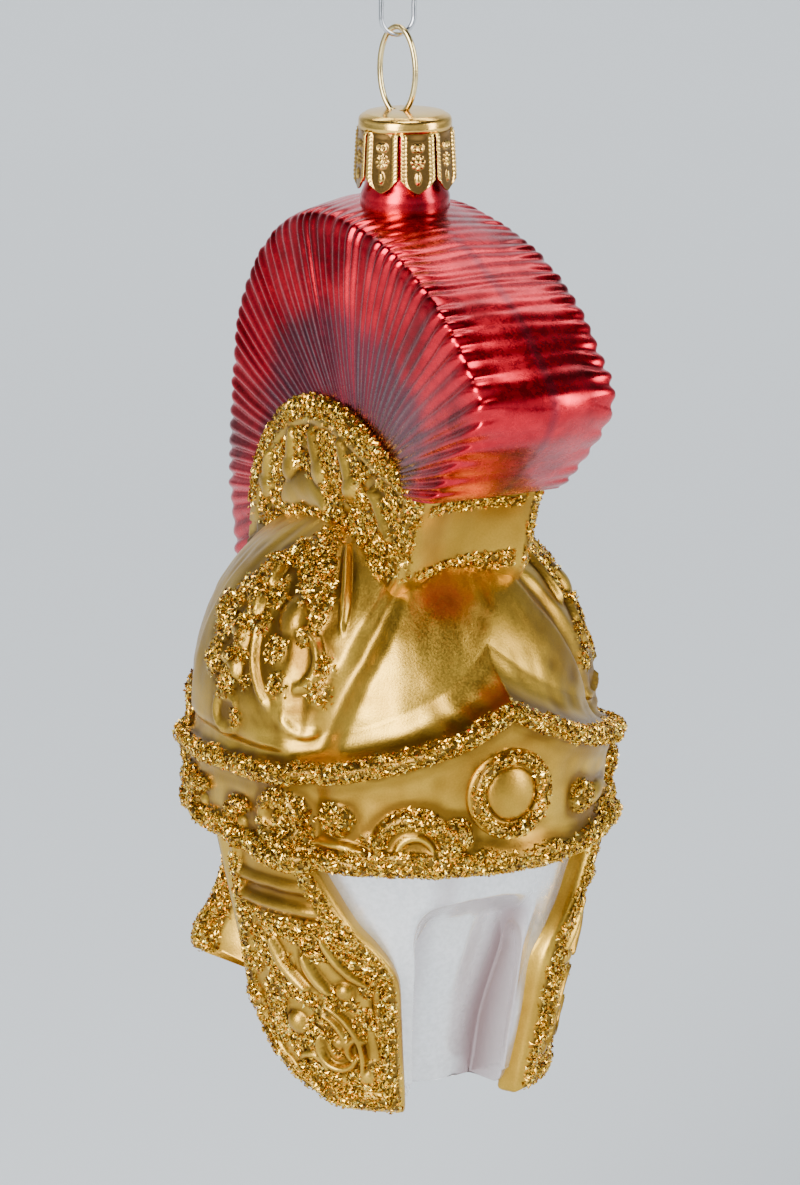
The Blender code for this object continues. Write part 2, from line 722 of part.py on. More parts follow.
def make_skull_hollow():
    """The hollow of skull and face, a wall and the deepest crease inside the outer form."""
    inset = WALL + SIDE_CREASE_DEPTH
    turns = [360.0 * (i + 0.5) / HOLLOW_COLUMNS for i in range(HOLLOW_COLUMNS)]
    foot = FACE_BOTTOM_BACK + inset
    front_clearance = 0.2 * GUARD_HALF_LENGTH_TOP
    rings = []
    for share in (0.0, 0.1, 0.5, 0.9):
        height = foot + (BROW_EDGE - foot) * share
        half_width, half_length = guard_size(height)
        shrink = FACE_RECESS + inset + (inset if share == 0.0 else 0.0)
        size = (half_width - shrink, half_length - shrink - front_clearance, FACE_SET_BACK + front_clearance)
        rings.append([oval(*size, turn, height) for turn in turns])
    for share in (0.12, 1.0, 1.4, 1.7, 1.9):
        if share <= 1.0:
            height = BROW_EDGE + (SKULL_EQUATOR - BROW_EDGE) * share
            scale = skull_scale(height)
        else:
            height = SKULL_EQUATOR + (SKULL_TOP - SKULL_EQUATOR - inset) * (share - 1.0)
            scale = math.sqrt(1.0 - (share - 1.0) ** 2)
        size = ((SKULL_HALF_WIDTH - inset) * scale, (SKULL_HALF_LENGTH - inset) * scale, SKULL_SET_BACK)
        rings.append([oval(*size, turn, height) for turn in turns])
    return loft(rings)


def make_crest_hollow():
    """The hollow of the crest: the fan a wall and a rib inside its outline."""
    inset = WALL + CREST_RIB_DEPTH
    first, last = CREST_OUTLINE[1].turn + 3.0, CREST_OUTLINE[-1].turn - 12.0
    count = 20
    rings = []
    for i in range(count + 1):
        turn = first + (last - first) * i / count
        angle = math.radians(turn)
        half_width = CREST_HALF_WIDTH * through(CREST_OUTLINE, "width", turn) - inset
        low = CREST_INNER_RADIUS + inset
        high = CREST_REACH * through(CREST_OUTLINE, "reach", turn) - inset
        corners = (
            (CREST_SECTION[0].width * half_width, low),
            (CREST_SECTION[2].width * half_width, high),
            (-CREST_SECTION[2].width * half_width, high),
            (-CREST_SECTION[0].width * half_width, low),
        )
        rings.append(
            [
                Vector((x, CREST_HUB_Y - r * math.cos(angle), CREST_HUB_HEIGHT + r * math.sin(angle)))
                for x, r in corners
            ]
        )
    return loft(rings)


def make_seat_hollow():
    """The way down from the crest's hollow through the seat into the skull's."""
    rings = []
    for side in (-1.0, 1.0):
        rings.append(
            [
                Vector(
                    (
                        side * (SEAT_HALF_WIDTH - WALL - RELIEF_SINK),
                        SEAT_FRONT + point.length * SEAT_LENGTH,
                        SEAT_FOOT + point.height * SEAT_HEIGHT,
                    )
                )
                for point in SEAT_HOLLOW
            ]
        )
    return loft(rings)


def on_skull(turn, height):
    return skull_point(turn, height, 0.0)


def on_brow(turn, height):
    depth = BAND_PROUD_BEHIND + (BROW_PROUD - BAND_PROUD_BEHIND) * front_share(turn)
    return skull_point(turn, height, depth)


def on_guard(turn, height):
    half_width, half_length = guard_size(height)
    return oval(half_width, half_length, 0.0, turn, height)


def on_seat_side(side):
    """The seat's side as a surface of lengths and heights, for the same strokes."""
    return lambda length, height: Vector((-side * SEAT_HALF_WIDTH, length, height))


def surface_frame(surface, u, v):
    """A place on a surface, with its outward, level and upward directions."""
    step_u, step_v = 0.01, 0.01 * MM
    here = surface(u, v)
    across = surface(u + step_u, v) - surface(u - step_u, v)
    climb = surface(u, v + step_v) - surface(u, v - step_v)
    out = across.cross(climb).normalized()
    if out.dot(here - Vector((0.0, 0.5 * here.y, here.z))) < 0.0:
        out = -out
    upward = (climb - out * climb.dot(out)).normalized()
    return here, out, upward.cross(out), upward


def make_ridge(surface, places, half_width, proud):
    """A low ridge along a line of places on a surface, tapering at both ends."""
    rings = []
    for i, place in enumerate(places):
        here, out = surface_frame(surface, *place)[:2]
        before = surface(*places[max(i - 1, 0)])
        after = surface(*places[min(i + 1, len(places) - 1)])
        sideways = out.cross((after - before).normalized())
        end = i in (0, len(places) - 1)
        width = half_width * (0.55 if end else 1.0)
        rise = proud * (0.25 if end else 1.0)
        rings.append(
            [
                here - sideways * width - out * RELIEF_SINK,
                here - sideways * 0.45 * width + out * rise,
                here + sideways * 0.45 * width + out * rise,
                here + sideways * width - out * RELIEF_SINK,
            ]
        )
    return loft(rings)


def make_lump(surface, place, radius, proud):
    """A low round lump on a surface."""
    here, out, level, upward = surface_frame(surface, *place)
    sides = 6
    rings = []
    for share, rise in ((1.0, -RELIEF_SINK), (0.9, 0.5 * proud), (0.45, proud)):
        angles = [2.0 * math.pi * i / sides for i in range(sides)]
        rings.append(
            [
                here + (level * math.cos(a) + upward * math.sin(a)) * (share * radius) + out * rise
                for a in angles
            ]
        )
    return loft(rings)


def make_strokes(surface, strokes, side, turn, height, size):
    """Ridges and lumps for one ornament. Across is toward the front on both sides of the helmet."""
    found = []
    degrees_per_length = math.degrees(1.0 / surface(side * turn, height).xy.length)
    for stroke in strokes:
        segments = max(3, round(abs(stroke.sweep) / 50.0))
        places = []
        for i in range(segments + 1):
            angle = math.radians(stroke.start + stroke.sweep * i / segments)
            across = size * (stroke.across + stroke.radius * math.cos(angle))
            up = size * (stroke.up + stroke.radius * math.sin(angle))
            places.append((side * (turn - across * degrees_per_length), height + up))
        if stroke.radius > 0.0:
            found.append(make_ridge(surface, places, size * stroke.half_width, RELIEF_PROUD))
        else:
            found.append(make_lump(surface, places[0], size * stroke.half_width, RELIEF_PROUD))
    return found


def make_tongues(side):
    """The row of tongues up the seat's side."""
    found = []
    for tongue in SEAT_TONGUES:
        y = SEAT_FRONT + tongue.length * SEAT_LENGTH
        height = SEAT_FOOT + tongue.height * SEAT_HEIGHT
        lean = math.radians(tongue.lean)
        places = [
            (y + reach * TONGUE_LENGTH * math.sin(-lean), height + reach * TONGUE_LENGTH * math.cos(lean))
            for reach in (-0.5, -0.2, 0.2, 0.5)
        ]
        found.append(make_ridge(on_seat_side(side), places, TONGUE_HALF_WIDTH, RELIEF_PROUD))
    return found


def make_ornament(side):
    """All the cast ornament of one side of the helmet."""
    panel = (side, PANEL_ORNAMENT_TURN, PANEL_ORNAMENT_HEIGHT, PANEL_ORNAMENT_SIZE)
    guard = (side, GUARD_ORNAMENT_TURN, GUARD_ORNAMENT_HEIGHT, GUARD_ORNAMENT_SIZE)
    return [
        *make_strokes(on_skull, PANEL_STROKES, *panel),
        *make_strokes(on_guard, GUARD_STROKES, *guard),
        *make_strokes(on_brow, BOSS_STROKES, side, BOSS_TURN, BOSS_HEIGHT, BOSS_RADIUS),
        *make_strokes(on_brow, ARCH_STROKES, side, ARCH_TURN, ARCH_HEIGHT, ARCH_RADIUS),
        *make_tongues(side),
    ]


def add_boolean(obj, name, operation, forms):
    """Joins helper forms to an object, or takes them out of it, all in one step."""
    helpers = bpy.data.collections.new(name)
    bpy.context.scene.collection.children.link(helpers)
    made = []
    for number, bm in enumerate(forms):
        helper = as_cutter(add_object(f"{name}_{number}", bm))
        bpy.context.scene.collection.objects.unlink(helper)
        helpers.objects.link(helper)
        made.append(helper)
    step = obj.modifiers.new(name, "BOOLEAN")
    step.operation = operation
    step.solver = "EXACT"
    step.operand_type = "COLLECTION"
    step.collection = helpers
    return made


def make_glass(material):
    """One bulb: the outer forms joined, then the hollows taken out through the neck."""
    glass = add_object("glass_body", make_skull(), material)
    forms = [make_face(), make_guard(1.0), make_guard(-1.0), make_neck_guard()]
    forms += [make_medallion(), make_seat(), make_crest(), make_neck()]
    hollows = [make_skull_hollow(), make_neck_guard(WALL), make_crest_hollow(), make_seat_hollow()]
    hollows.append(make_neck_bore())
    return [
        glass,
        *add_boolean(glass, "outer_form", "UNION", forms),
        *add_boolean(glass, "cast_ornament", "UNION", make_ornament(1.0) + make_ornament(-1.0)),
        *add_boolean(glass, "hollow", "DIFFERENCE", hollows),
        *add_boolean(glass, "channel", "DIFFERENCE", [make_channel()]),
    ]


def cap_top():
    return neck_top() + CAP_CLEARANCE + CAP_SHEET


def hang_height():
    """The inner top of the loop, where the ornament hangs."""
    return cap_top() + LOOP_HEIGHT - 2.0 * WIRE_RADIUS


def make_cap(material):
    """The stamped cap: a low domed disc, a bevelled shoulder and a skirt slit into pointed petals."""
    bm = bmesh.new()
    per_petal = 4
    columns = CAP_PETALS * per_petal
    top = cap_top()
    slit = top - CAP_SLIT_TOP
    foot = top - CAP_LENGTH
    shoulder = foot + CAP_PETAL_POINT
    angles = [math.radians(CAP_TURN) + 2.0 * math.pi * i / columns for i in range(columns)]

    def ring(radius, height):
        return [bm.verts.new((radius * math.cos(a), radius * math.sin(a), height)) for a in angles]

    def skirt_radius(height):
        share = (top - height) / CAP_LENGTH
        return CAP_TOP_RADIUS + (CAP_SKIRT_RADIUS - CAP_TOP_RADIUS) * share

    rings = [
        ring(0.5 * CAP_TOP_RADIUS, top + CAP_DOME),
        ring(CAP_TOP_RADIUS - CAP_BEVEL, top + 0.5 * CAP_DOME),
        ring(CAP_TOP_RADIUS - 0.25 * CAP_BEVEL, top - 0.3 * CAP_BEVEL),
        ring(CAP_TOP_RADIUS, top - CAP_BEVEL),
        ring(skirt_radius(slit), slit),
    ]
    bm.faces.new(rings[0])
    for high, low in zip(rings, rings[1:]):
        for i in range(columns):
            k = (i + 1) % columns
            bm.faces.new((high[i], high[k], low[k], low[i]))
    gap_angle = 0.5 * CAP_PETAL_GAP / CAP_SKIRT_RADIUS
    for petal in range(CAP_PETALS):
        start = petal * per_petal
        upper = [rings[-1][(start + i) % columns] for i in range(per_petal + 1)]
        middle, lower = [], []
        for i in range(per_petal + 1):
            angle = math.radians(CAP_TURN) + 2.0 * math.pi * (start + i) / columns
            side = 2.0 * i / per_petal - 1.0
            angle -= gap_angle * side if abs(side) == 1.0 else 0.0
            point_height = foot + (shoulder - foot) * abs(side) ** 1.4
            for height, found in ((shoulder + 0.5 * (slit - shoulder), middle), (point_height, lower)):
                radius = skirt_radius(height)
                found.append(bm.verts.new((radius * math.cos(angle), radius * math.sin(angle), height)))
        for high, low in ((upper, middle), (middle, lower)):
            for i in range(per_petal):
                bm.faces.new((high[i], high[i + 1], low[i + 1], low[i]))
    bmesh.ops.recalc_face_normals(bm, faces=bm.faces)
    outward = sum((face.normal.z for face in bm.faces), 0.0)
    if outward < 0:
        bmesh.ops.reverse_faces(bm, faces=bm.faces)
    mesh = bpy.data.meshes.new("cap")
    bm.to_mesh(mesh)
    bm.free()
    mesh.materials.append(material)
    cap = bpy.data.objects.new("cap", mesh)
    bpy.context.scene.collection.objects.link(cap)
    sheet = cap.modifiers.new("sheet", "SOLIDIFY")
    sheet.thickness = CAP_SHEET
    sheet.offset = -1.0
    bores = []
    for side in (-1.0, 1.0):
        centre = place_wire(LOOP_TURN) @ Vector((0.0, side * LOOP_SPACING, 0.0))
        bore = turned(
            [
                (WIRE_RADIUS + WIRE_CLEARANCE, top - 4.0 * CAP_SHEET),
                (WIRE_RADIUS + WIRE_CLEARANCE, top + CAP_DOME + 2.0 * CAP_SHEET),
            ],
            sides=16,
        )
        bmesh.ops.translate(bore, verts=bore.verts, vec=centre)
        bores.append(bore)
    return [cap, *add_boolean(cap, "wire_hole", "DIFFERENCE", bores)]


def place_wire(turn):
    """Turns a wire about the upright line through the loop, which stands a little off the neck's axis."""
    move = Matrix.Translation((-LOOP_ASIDE, LOOP_BACK, 0.0))
    return move @ Matrix.Rotation(math.radians(turn), 4, "Z")


def wire(name, points, radius, material, cyclic=False):
    """A round wire along a line of points."""
    curve = bpy.data.curves.new(name, "CURVE")
    curve.dimensions = "3D"
    curve.bevel_depth = radius
    curve.bevel_resolution = 2
    curve.use_fill_caps = not cyclic
    spline = curve.splines.new("POLY")
    spline.points.add(len(points) - 1)
    for target, point in zip(spline.points, points):
        target.co = (*point, 1.0)
    spline.use_cyclic_u = cyclic
    curve.materials.append(material)
    obj = bpy.data.objects.new(name, curve)
    bpy.context.scene.collection.objects.link(obj)
    return obj


def make_loop(material):
    """The hanger: an oval of wire over the cap, whose two legs spring apart inside the neck."""
    base = cap_top()
    half_height = 0.5 * (LOOP_HEIGHT - WIRE_RADIUS)
    half_width = LOOP_HALF_WIDTH
    centre = base + half_height
    # The oval is left where it comes down to the spacing of the cap's holes.
    first = math.asin(LOOP_SPACING / half_width)
    oval_points = []
    for i in range(29):
        angle = first + (2.0 * math.pi - 2.0 * first) * i / 28
        point = (0.0, half_width * math.sin(angle), centre - half_height * math.cos(angle))
        oval_points.append(Vector(point))
    off_axis = math.hypot(LOOP_ASIDE, LOOP_BACK)
    spread = NECK_TOP_RADIUS - WALL - WIRE_RADIUS - 1.5 * WIRE_CLEARANCE - off_axis
    legs = []
    for side in (1.0, -1.0):
        leg = []
        for i in range(1, 7):
            share = i / 6
            y = LOOP_SPACING + (spread - LOOP_SPACING) * smoothstep(0.15, 1.0, share)
            start = oval_points[0].z
            leg.append(Vector((0.0, side * y, start - LOOP_LEG_LENGTH * share)))
        legs.append(leg)
    points = legs[0][::-1] + oval_points + legs[1]
    turn = place_wire(LOOP_TURN)
    return wire("wire_loop", [turn @ p for p in points], WIRE_RADIUS, material)


def make_link(material):
    """The plain steel link that the loop hangs from, a long oval standing across it."""
    arc = LINK_HALF_WIDTH - LINK_WIRE_RADIUS
    straight = 0.5 * LINK_LENGTH - LINK_HALF_WIDTH
    centre = hang_height() - WIRE_CLEARANCE - LINK_WIRE_RADIUS + arc + straight
    points = []
    for end in (1.0, -1.0):
        for i in range(13):
            angle = math.pi * i / 12
            points.append(
                Vector((end * arc * math.cos(angle), 0.0, centre + end * (straight + arc * math.sin(angle))))
            )
    turn = place_wire(LINK_TURN)
    return wire("hanging_link", [turn @ p for p in points], LINK_WIRE_RADIUS, material, cyclic=True)


def main():
    for old in list(bpy.data.objects):
        bpy.data.objects.remove(old)
    glass = principled("lacquered_glass", (0.72, 0.55, 0.16), 0.35, 1.0)
    brass = principled("gilt_brass", (0.86, 0.63, 0.20), 0.22, 1.0)
    gilt_wire = principled("gilt_wire", (0.80, 0.62, 0.26), 0.22, 1.0)
    steel = principled("steel_wire", (0.62, 0.62, 0.63), 0.2, 1.0)
    hang_point = bpy.data.objects.new("hang_point", None)
    bpy.context.scene.collection.objects.link(hang_point)
    hang_point.location = (LOOP_ASIDE, -LOOP_BACK, -hang_height())
    made = make_glass(glass) + make_cap(brass) + [make_loop(gilt_wire), make_link(steel)]
    for obj in made:
        obj.parent = hang_point


main()
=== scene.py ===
"""Looks of a blown-glass tree ornament in the form of a crested Roman helmet.

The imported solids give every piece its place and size. Here the glass gets its fine cast relief, its three
lacquers and its glitter, the cap its stamping and the wires their round sections. Lengths are in metres.
Heights are measured up from the level of the cheek guards' tips, and turns go round the helmet from the
front (0) by the wearer's right (90) to the back (180), or -180 by the wearer's left.
"""

import math
from collections import namedtuple

import bpy
import numpy as np
from mathutils import Matrix, Vector


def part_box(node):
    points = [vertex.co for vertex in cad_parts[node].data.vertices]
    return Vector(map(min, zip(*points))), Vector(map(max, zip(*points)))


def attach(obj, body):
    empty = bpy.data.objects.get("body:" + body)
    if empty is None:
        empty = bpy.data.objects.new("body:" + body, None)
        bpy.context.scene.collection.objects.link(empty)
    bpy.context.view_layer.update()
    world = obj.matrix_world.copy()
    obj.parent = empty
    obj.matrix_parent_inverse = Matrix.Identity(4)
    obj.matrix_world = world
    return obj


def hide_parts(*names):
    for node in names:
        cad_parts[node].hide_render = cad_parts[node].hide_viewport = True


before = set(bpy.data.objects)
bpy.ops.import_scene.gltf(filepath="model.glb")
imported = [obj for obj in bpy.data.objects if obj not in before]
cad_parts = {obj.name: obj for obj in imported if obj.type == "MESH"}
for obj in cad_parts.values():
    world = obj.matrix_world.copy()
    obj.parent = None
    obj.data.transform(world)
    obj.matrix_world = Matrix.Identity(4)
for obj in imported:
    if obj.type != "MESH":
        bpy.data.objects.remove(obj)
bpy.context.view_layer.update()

MM = 0.001

# Skull and brow plate, as in the solids.
SKULL_HALF_WIDTH = 23.4 * MM
SKULL_HALF_LENGTH = 28.1 * MM
SKULL_SET_BACK = 3.8 * MM
SKULL_EQUATOR = 46.8 * MM
SKULL_TOP = 72.5 * MM
SIDE_CREASE_DEPTH = 1.1 * MM
SIDE_CREASE_HALF_ANGLE = 7.0
SIDE_CREASE_FOOT_TURN = 52.0
SIDE_CREASE_SWEEP = 34.0
SIDE_PANEL_SWELL = 0.9 * MM
SIDE_PANEL_FOOT = 45.4 * MM
SIDE_PANEL_STARTS = 57.5, 64.0
SIDE_PANEL_ENDS = 105.0, 113.0
SIDE_RELIEF_FADES = 0.55, 0.92
SKULL_UNDERCUT = 0.025
BROW_EDGE = 32.5 * MM
BROW_RIM_SIDE = 40.5 * MM
BROW_PEAK = 52.3 * MM
BROW_PEAK_SPREAD = 44.0
BROW_PROUD = 2.6 * MM
BAND_PROUD_BEHIND = 0.9 * MM
FRONT_PLATE_ENDS = 56.0, 84.0
MEDALLION_HEIGHT = 42.0 * MM
MEDALLION_RADIUS = 5.6 * MM
MEDALLION_RISE = 1.3 * MM

# Face, cheek guards and neck guard, as in the solids.
FACE_RECESS = 1.5 * MM
FACE_SET_BACK = 1.6 * MM
FACE_BOTTOM_FRONT = 0.2 * MM
FACE_BOTTOM_BACK = 10.5 * MM
FACE_EDGE_ROUND = 2.2 * MM
CHANNEL_HALF_WIDTH = 7.2 * MM
GUARD_LENGTH = 31.5 * MM
GUARD_HALF_WIDTH_TOP = 23.7 * MM
GUARD_HALF_LENGTH_TOP = 22.9 * MM
GUARD_HALF_WIDTH_TIP = 17.2 * MM
GUARD_HALF_LENGTH_TIP = 16.8 * MM
GUARD_THICKNESS = 3.4 * MM
GUARD_EDGE_ROUND = 0.9 * MM
NECK_GUARD_EDGE = 12.9 * MM
NECK_GUARD_HALF_WIDTH = 22.8 * MM
NECK_GUARD_HALF_LENGTH = 28.6 * MM
NECK_GUARD_WAIST_INSET = 4.0 * MM
NECK_GUARD_FROM = 116.0

# Crest seat and crest, as in the solids.
SEAT_HALF_WIDTH = 9.5 * MM
SEAT_LENGTH = 44.5 * MM
SEAT_FRONT = -19.4 * MM
SEAT_FOOT = 61.0 * MM
SEAT_HEIGHT = 23.8 * MM
CREST_HUB_Y = -1.0 * MM
CREST_HUB_HEIGHT = 75.0 * MM
CREST_REACH = 33.5 * MM
CREST_INNER_RADIUS = 8.0 * MM
CREST_HALF_WIDTH = 9.6 * MM
CREST_CROWN = 2.0 * MM
CREST_RIB_PITCH = 2.05 * MM
CREST_RIB_DEPTH = 0.55 * MM

# Neck, cap, loop and link, as in the solids.
NECK_TOP = 119.0 * MM
NECK_TOP_RADIUS = 4.8 * MM
NECK_FOOT_RADIUS = 5.4 * MM
CAP_SHEET = 0.3 * MM
CAP_CLEARANCE = 0.3 * MM
CAP_TOP_RADIUS = 5.6 * MM
CAP_SKIRT_RADIUS = 6.1 * MM
CAP_LENGTH = 8.8 * MM
CAP_BEVEL = 0.8 * MM
CAP_DOME = 0.5 * MM
CAP_PETALS = 8
CAP_PETAL_POINT = 1.7 * MM
CAP_PETAL_GAP = 0.45 * MM
CAP_SLIT_TOP = 1.6 * MM
CAP_TURN = 10.0
WIRE_RADIUS = 0.35 * MM
WIRE_CLEARANCE = 0.3 * MM
WALL = 0.9 * MM
LOOP_HEIGHT = 10.8 * MM
LOOP_HALF_WIDTH = 2.75 * MM
LOOP_SPACING = 1.1 * MM
LOOP_LEG_LENGTH = 9.0 * MM
LOOP_TURN = 22.0
LINK_WIRE_RADIUS = 0.3 * MM
LINK_LENGTH = 11.0 * MM
LINK_HALF_WIDTH = 2.4 * MM
LINK_TURN = -5.0

# Fine work that the solids leave out. Glitter lies in lines along the edges and on glue over the ornament.
RELIEF_RISE = 0.9 * MM
GLUE_BED = 0.22 * MM
FLAKE_SIZE = 0.30 * MM
FLAKE_SIZES = 0.6, 1.25
FLAKE_TILT = 0.42
FLAKES_PER_MM2 = 13.0
BEAD_LINE = 1.15 * MM
EDGE_BEAD = 2.3 * MM
BAND_LINE_ENDS = 119.0, 120.5
BAND_BAR_TURN = 118.0
BAND_BAR_TOP = 48.5 * MM
GUARD_LINE_TOP = 31.0 * MM
GUARD_GROUND_TOP = 24.0 * MM
GUARD_ROLL_HEIGHTS = 25.7 * MM, 28.6 * MM
HOLLOW_DEPTH = 0.16 * MM

# How fine the meshes are. A row on the dome is told from a row on the band by its share.
SKULL_COLUMNS = 540
MEDALLION_COLUMNS = 128
GUARD_COLUMNS = 120
NECK_GUARD_COLUMNS = 130
SEAT_OUTLINE_POINTS = 340
ROWS_PER_RIB = 12
NECK_COLUMNS = 96
CAP_COLUMNS = 220
PETAL_ROWS, PETAL_COLUMNS = 64, 34
WIRE_SIDES = 24
ON_DOME = 9.0

# Colours of the finishes, the paper and the room. Each lacquer has a second colour for where it lies thin.
GOLD, THIN_GOLD = (0.65, 0.392, 0.05, 1.0), (0.41, 0.22, 0.026, 1.0)
# The first brown is painted shade for the gold's hollows, creases and the band under its rim. The second is
# the glue under the glitter, darkened as painted shade between the flakes.
PAINTED_SHADE_BROWN, GLUE_AND_SHADE_BROWN = (0.16, 0.07, 0.008, 1.0), (0.20, 0.11, 0.02, 1.0)
RED, THIN_RED = (0.68, 0.004, 0.024, 1.0), (0.26, 0.001, 0.009, 1.0)
# A dark red painted as a reflection on the crest's lower sides, and as painted shade in its crown's crease.
REFLECTION_AND_SHADE_DARK = (0.10, 0.022, 0.038, 1.0)
PEARL, THIN_PEARL = (0.90, 0.90, 0.90, 1.0), (0.84, 0.83, 0.82, 1.0)
# A rose grey painted as a shadow on the walls of the face's channel.
PAINTED_ROSE_SHADOW = (0.42, 0.31, 0.31, 1.0)
FLAKE_BROWN, FLAKE_GOLD = (0.34, 0.15, 0.012, 1.0), (0.80, 0.46, 0.04, 1.0)
FLAKE_SPARK = (1.0, 0.80, 0.20, 1.0)
BRASS, THIN_BRASS = (0.95, 0.60, 0.14, 1.0), (0.86, 0.50, 0.11, 1.0)
# Brown for the bottom of the cap's stamping, and for painted shade in its wire holes and on its petals'
# insides.
STAMPING_AND_SHADE_BROWN = (0.36, 0.19, 0.05, 1.0)
GILT_WIRE, STEEL_WIRE = (0.90, 0.68, 0.30), (0.62, 0.63, 0.66)
PAPER = (0.74, 0.79, 0.83)
# The strength of the brown painted shade in the gold's hollows.
PAINTED_SHADE_STRENGTH = 0.85
PEARL_METALLIC = 0.72
ROOM_LEVEL, ROOM_ABOVE = (0.70, 0.76, 0.82, 1.0), (0.045, 0.045, 0.05, 1.0)

# The camera: an eye at the photograph's angle to the helmet, and the size of one of its pixels there.
PHOTO_WIDTH, PHOTO_HEIGHT = 800, 1185
PHOTO_TURN = 28.0
PHOTO_RISE = 14.5
PHOTO_AXIS_PIXEL = 405
PHOTO_MIDDLE_HEIGHT = 60.5 * MM
PIXEL_SIZE = 0.122 * MM
EYE_DISTANCE = 0.700

# Soft lamps round the ornament's middle, in metres and watts. Each faces the middle.
SoftBox = namedtuple("SoftBox", "name place size watts")
SOFT_BOXES = (
    SoftBox("left_softbox", (-0.55, -0.35, 0.25), (0.30, 0.55), 9.0),
    SoftBox("right_softbox", (0.50, -0.55, 0.20), (0.22, 0.50), 4.5),
    SoftBox("top_softbox", (0.05, 0.0, 0.7), (0.25, 0.25), 2.0),
)
WALL_BEHIND = 2.0
WALL_LAMP_BEHIND, WALL_LAMP_ABOVE = 0.9, 1.3
ROOM_STRENGTH = 0.95

# The solids hang from the loop, so the neck's axis and the tips' level are read from them.
glass_low, glass_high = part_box("glass_body")
cap_low, cap_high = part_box("cap")
AXIS = Vector((0.5 * (cap_low.x + cap_high.x), 0.5 * (cap_low.y + cap_high.y), glass_high.z - NECK_TOP))

BrowRow = namedtuple("BrowRow", "height proud")
BROW_ROWS = (
    BrowRow(0.00, 0.00),
    BrowRow(0.01, 0.90),
    BrowRow(0.10, 1.15),
    BrowRow(0.25, 0.95),
    BrowRow(0.75, 1.00),
    BrowRow(0.92, 1.22),
    BrowRow(1.00, 1.50),
    BrowRow(1.06, 1.30),
    BrowRow(1.18, 0.35),
    BrowRow(1.34, 0.00),
)

GuardRow = namedtuple("GuardRow", "height front back")
GUARD_ROWS = (
    GuardRow(-0.03, 29.0, 40.0),
    GuardRow(-0.02, 27.6, 52.0),
    GuardRow(0.04, 27.3, 68.0),
    GuardRow(0.12, 27.6, 82.0),
    GuardRow(0.21, 28.0, 92.5),
    GuardRow(0.38, 28.5, 98.7),
    GuardRow(0.53, 29.2, 98.0),
    GuardRow(0.60, 31.5, 96.5),
    GuardRow(0.68, 36.8, 95.0),
    GuardRow(0.78, 44.7, 94.0),
    GuardRow(1.00, 55.0, 92.0),
    GuardRow(1.08, 57.0, 90.0),
)

FlareRow = namedtuple("FlareRow", "height flare")
FLARE_ROWS = (
    FlareRow(0.00, 1.00),
    FlareRow(0.08, 0.98),
    FlareRow(0.25, 0.62),
    FlareRow(0.42, 0.26),
    FlareRow(0.58, 0.06),
    FlareRow(0.72, 0.05),
    FlareRow(0.90, 0.42),
    FlareRow(1.10, 0.60),
)

SeatPoint = namedtuple("SeatPoint", "length height")
SEAT_OUTLINE = (
    SeatPoint(0.150, 0.08),
    SeatPoint(0.095, 0.22),
    SeatPoint(0.075, 0.36),
    SeatPoint(0.050, 0.50),
    SeatPoint(0.000, 0.68),
    SeatPoint(0.030, 0.73),
    SeatPoint(0.110, 0.79),
    SeatPoint(0.210, 0.87),
    SeatPoint(0.320, 0.94),
    SeatPoint(0.430, 0.99),
    SeatPoint(0.540, 1.00),
    SeatPoint(0.640, 0.98),
    SeatPoint(0.740, 0.91),
    SeatPoint(0.840, 0.78),
    SeatPoint(0.920, 0.60),
    SeatPoint(0.975, 0.36),
    SeatPoint(1.000, 0.02),
    SeatPoint(0.900, -0.20),
    SeatPoint(0.500, -0.30),
    SeatPoint(0.250, -0.20),
)

CrestStation = namedtuple("CrestStation", "turn reach width crown")
CREST_OUTLINE = (
    CrestStation(6.5, 0.660, 0.96, 0.3),
    CrestStation(14.7, 0.835, 1.00, 1.1),
    CrestStation(19.5, 0.985, 1.00, 1.6),
    CrestStation(23.4, 1.095, 1.00, 1.2),
    CrestStation(27.5, 1.125, 1.00, 0.8),
    CrestStation(33.0, 1.100, 1.00, 0.6),
    CrestStation(42.0, 1.075, 1.01, 0.4),
    CrestStation(57.0, 1.020, 1.01, 0.2),
    CrestStation(77.0, 0.970, 1.00, 0.5),
    CrestStation(90.0, 0.965, 1.00, 0.9),
    CrestStation(120.0, 1.003, 0.98, 1.0),
    CrestStation(146.0, 0.980, 0.98, 1.0),
    CrestStation(164.0, 0.932, 0.97, 1.0),
    CrestStation(176.0, 0.925, 0.97, 1.0),
    CrestStation(198.0, 0.975, 0.95, 0.8),
    CrestStation(207.0, 1.020, 0.92, 0.5),
)

# Half of the crest's section for the fine mesh: how far out from the hub, half width, place on the crown, and
# how strongly the ribs stand out there.
CrestPoint = namedtuple("CrestPoint", "along radius width crown rib")
CREST_SECTION = (
    CrestPoint(0.00, 0.00, 0.82, 0.00, 0.20),
    CrestPoint(0.20, 0.33, 0.93, 0.00, 0.35),
    CrestPoint(0.38, 0.66, 0.995, 0.00, 0.70),
    CrestPoint(0.52, 0.90, 0.99, 0.00, 1.00),
    CrestPoint(0.57, 0.97, 0.965, 0.00, 1.00),
    CrestPoint(0.61, 1.00, 0.90, 0.12, 0.75),
    CrestPoint(0.75, 1.00, 0.58, 0.58, 0.18),
    CrestPoint(0.90, 1.00, 0.22, 0.93, 0.14),
    CrestPoint(1.00, 1.00, 0.00, 1.00, 0.16),
)

ChannelRow = namedtuple("ChannelRow", "height half_width groove middle")
CHANNEL_ROWS = (
    ChannelRow(-0.15, 0.74, 0.400, 0.460),
    ChannelRow(0.74, 1.00, 0.760, 0.810),
    ChannelRow(0.88, 0.85, 0.995, 1.000),
)

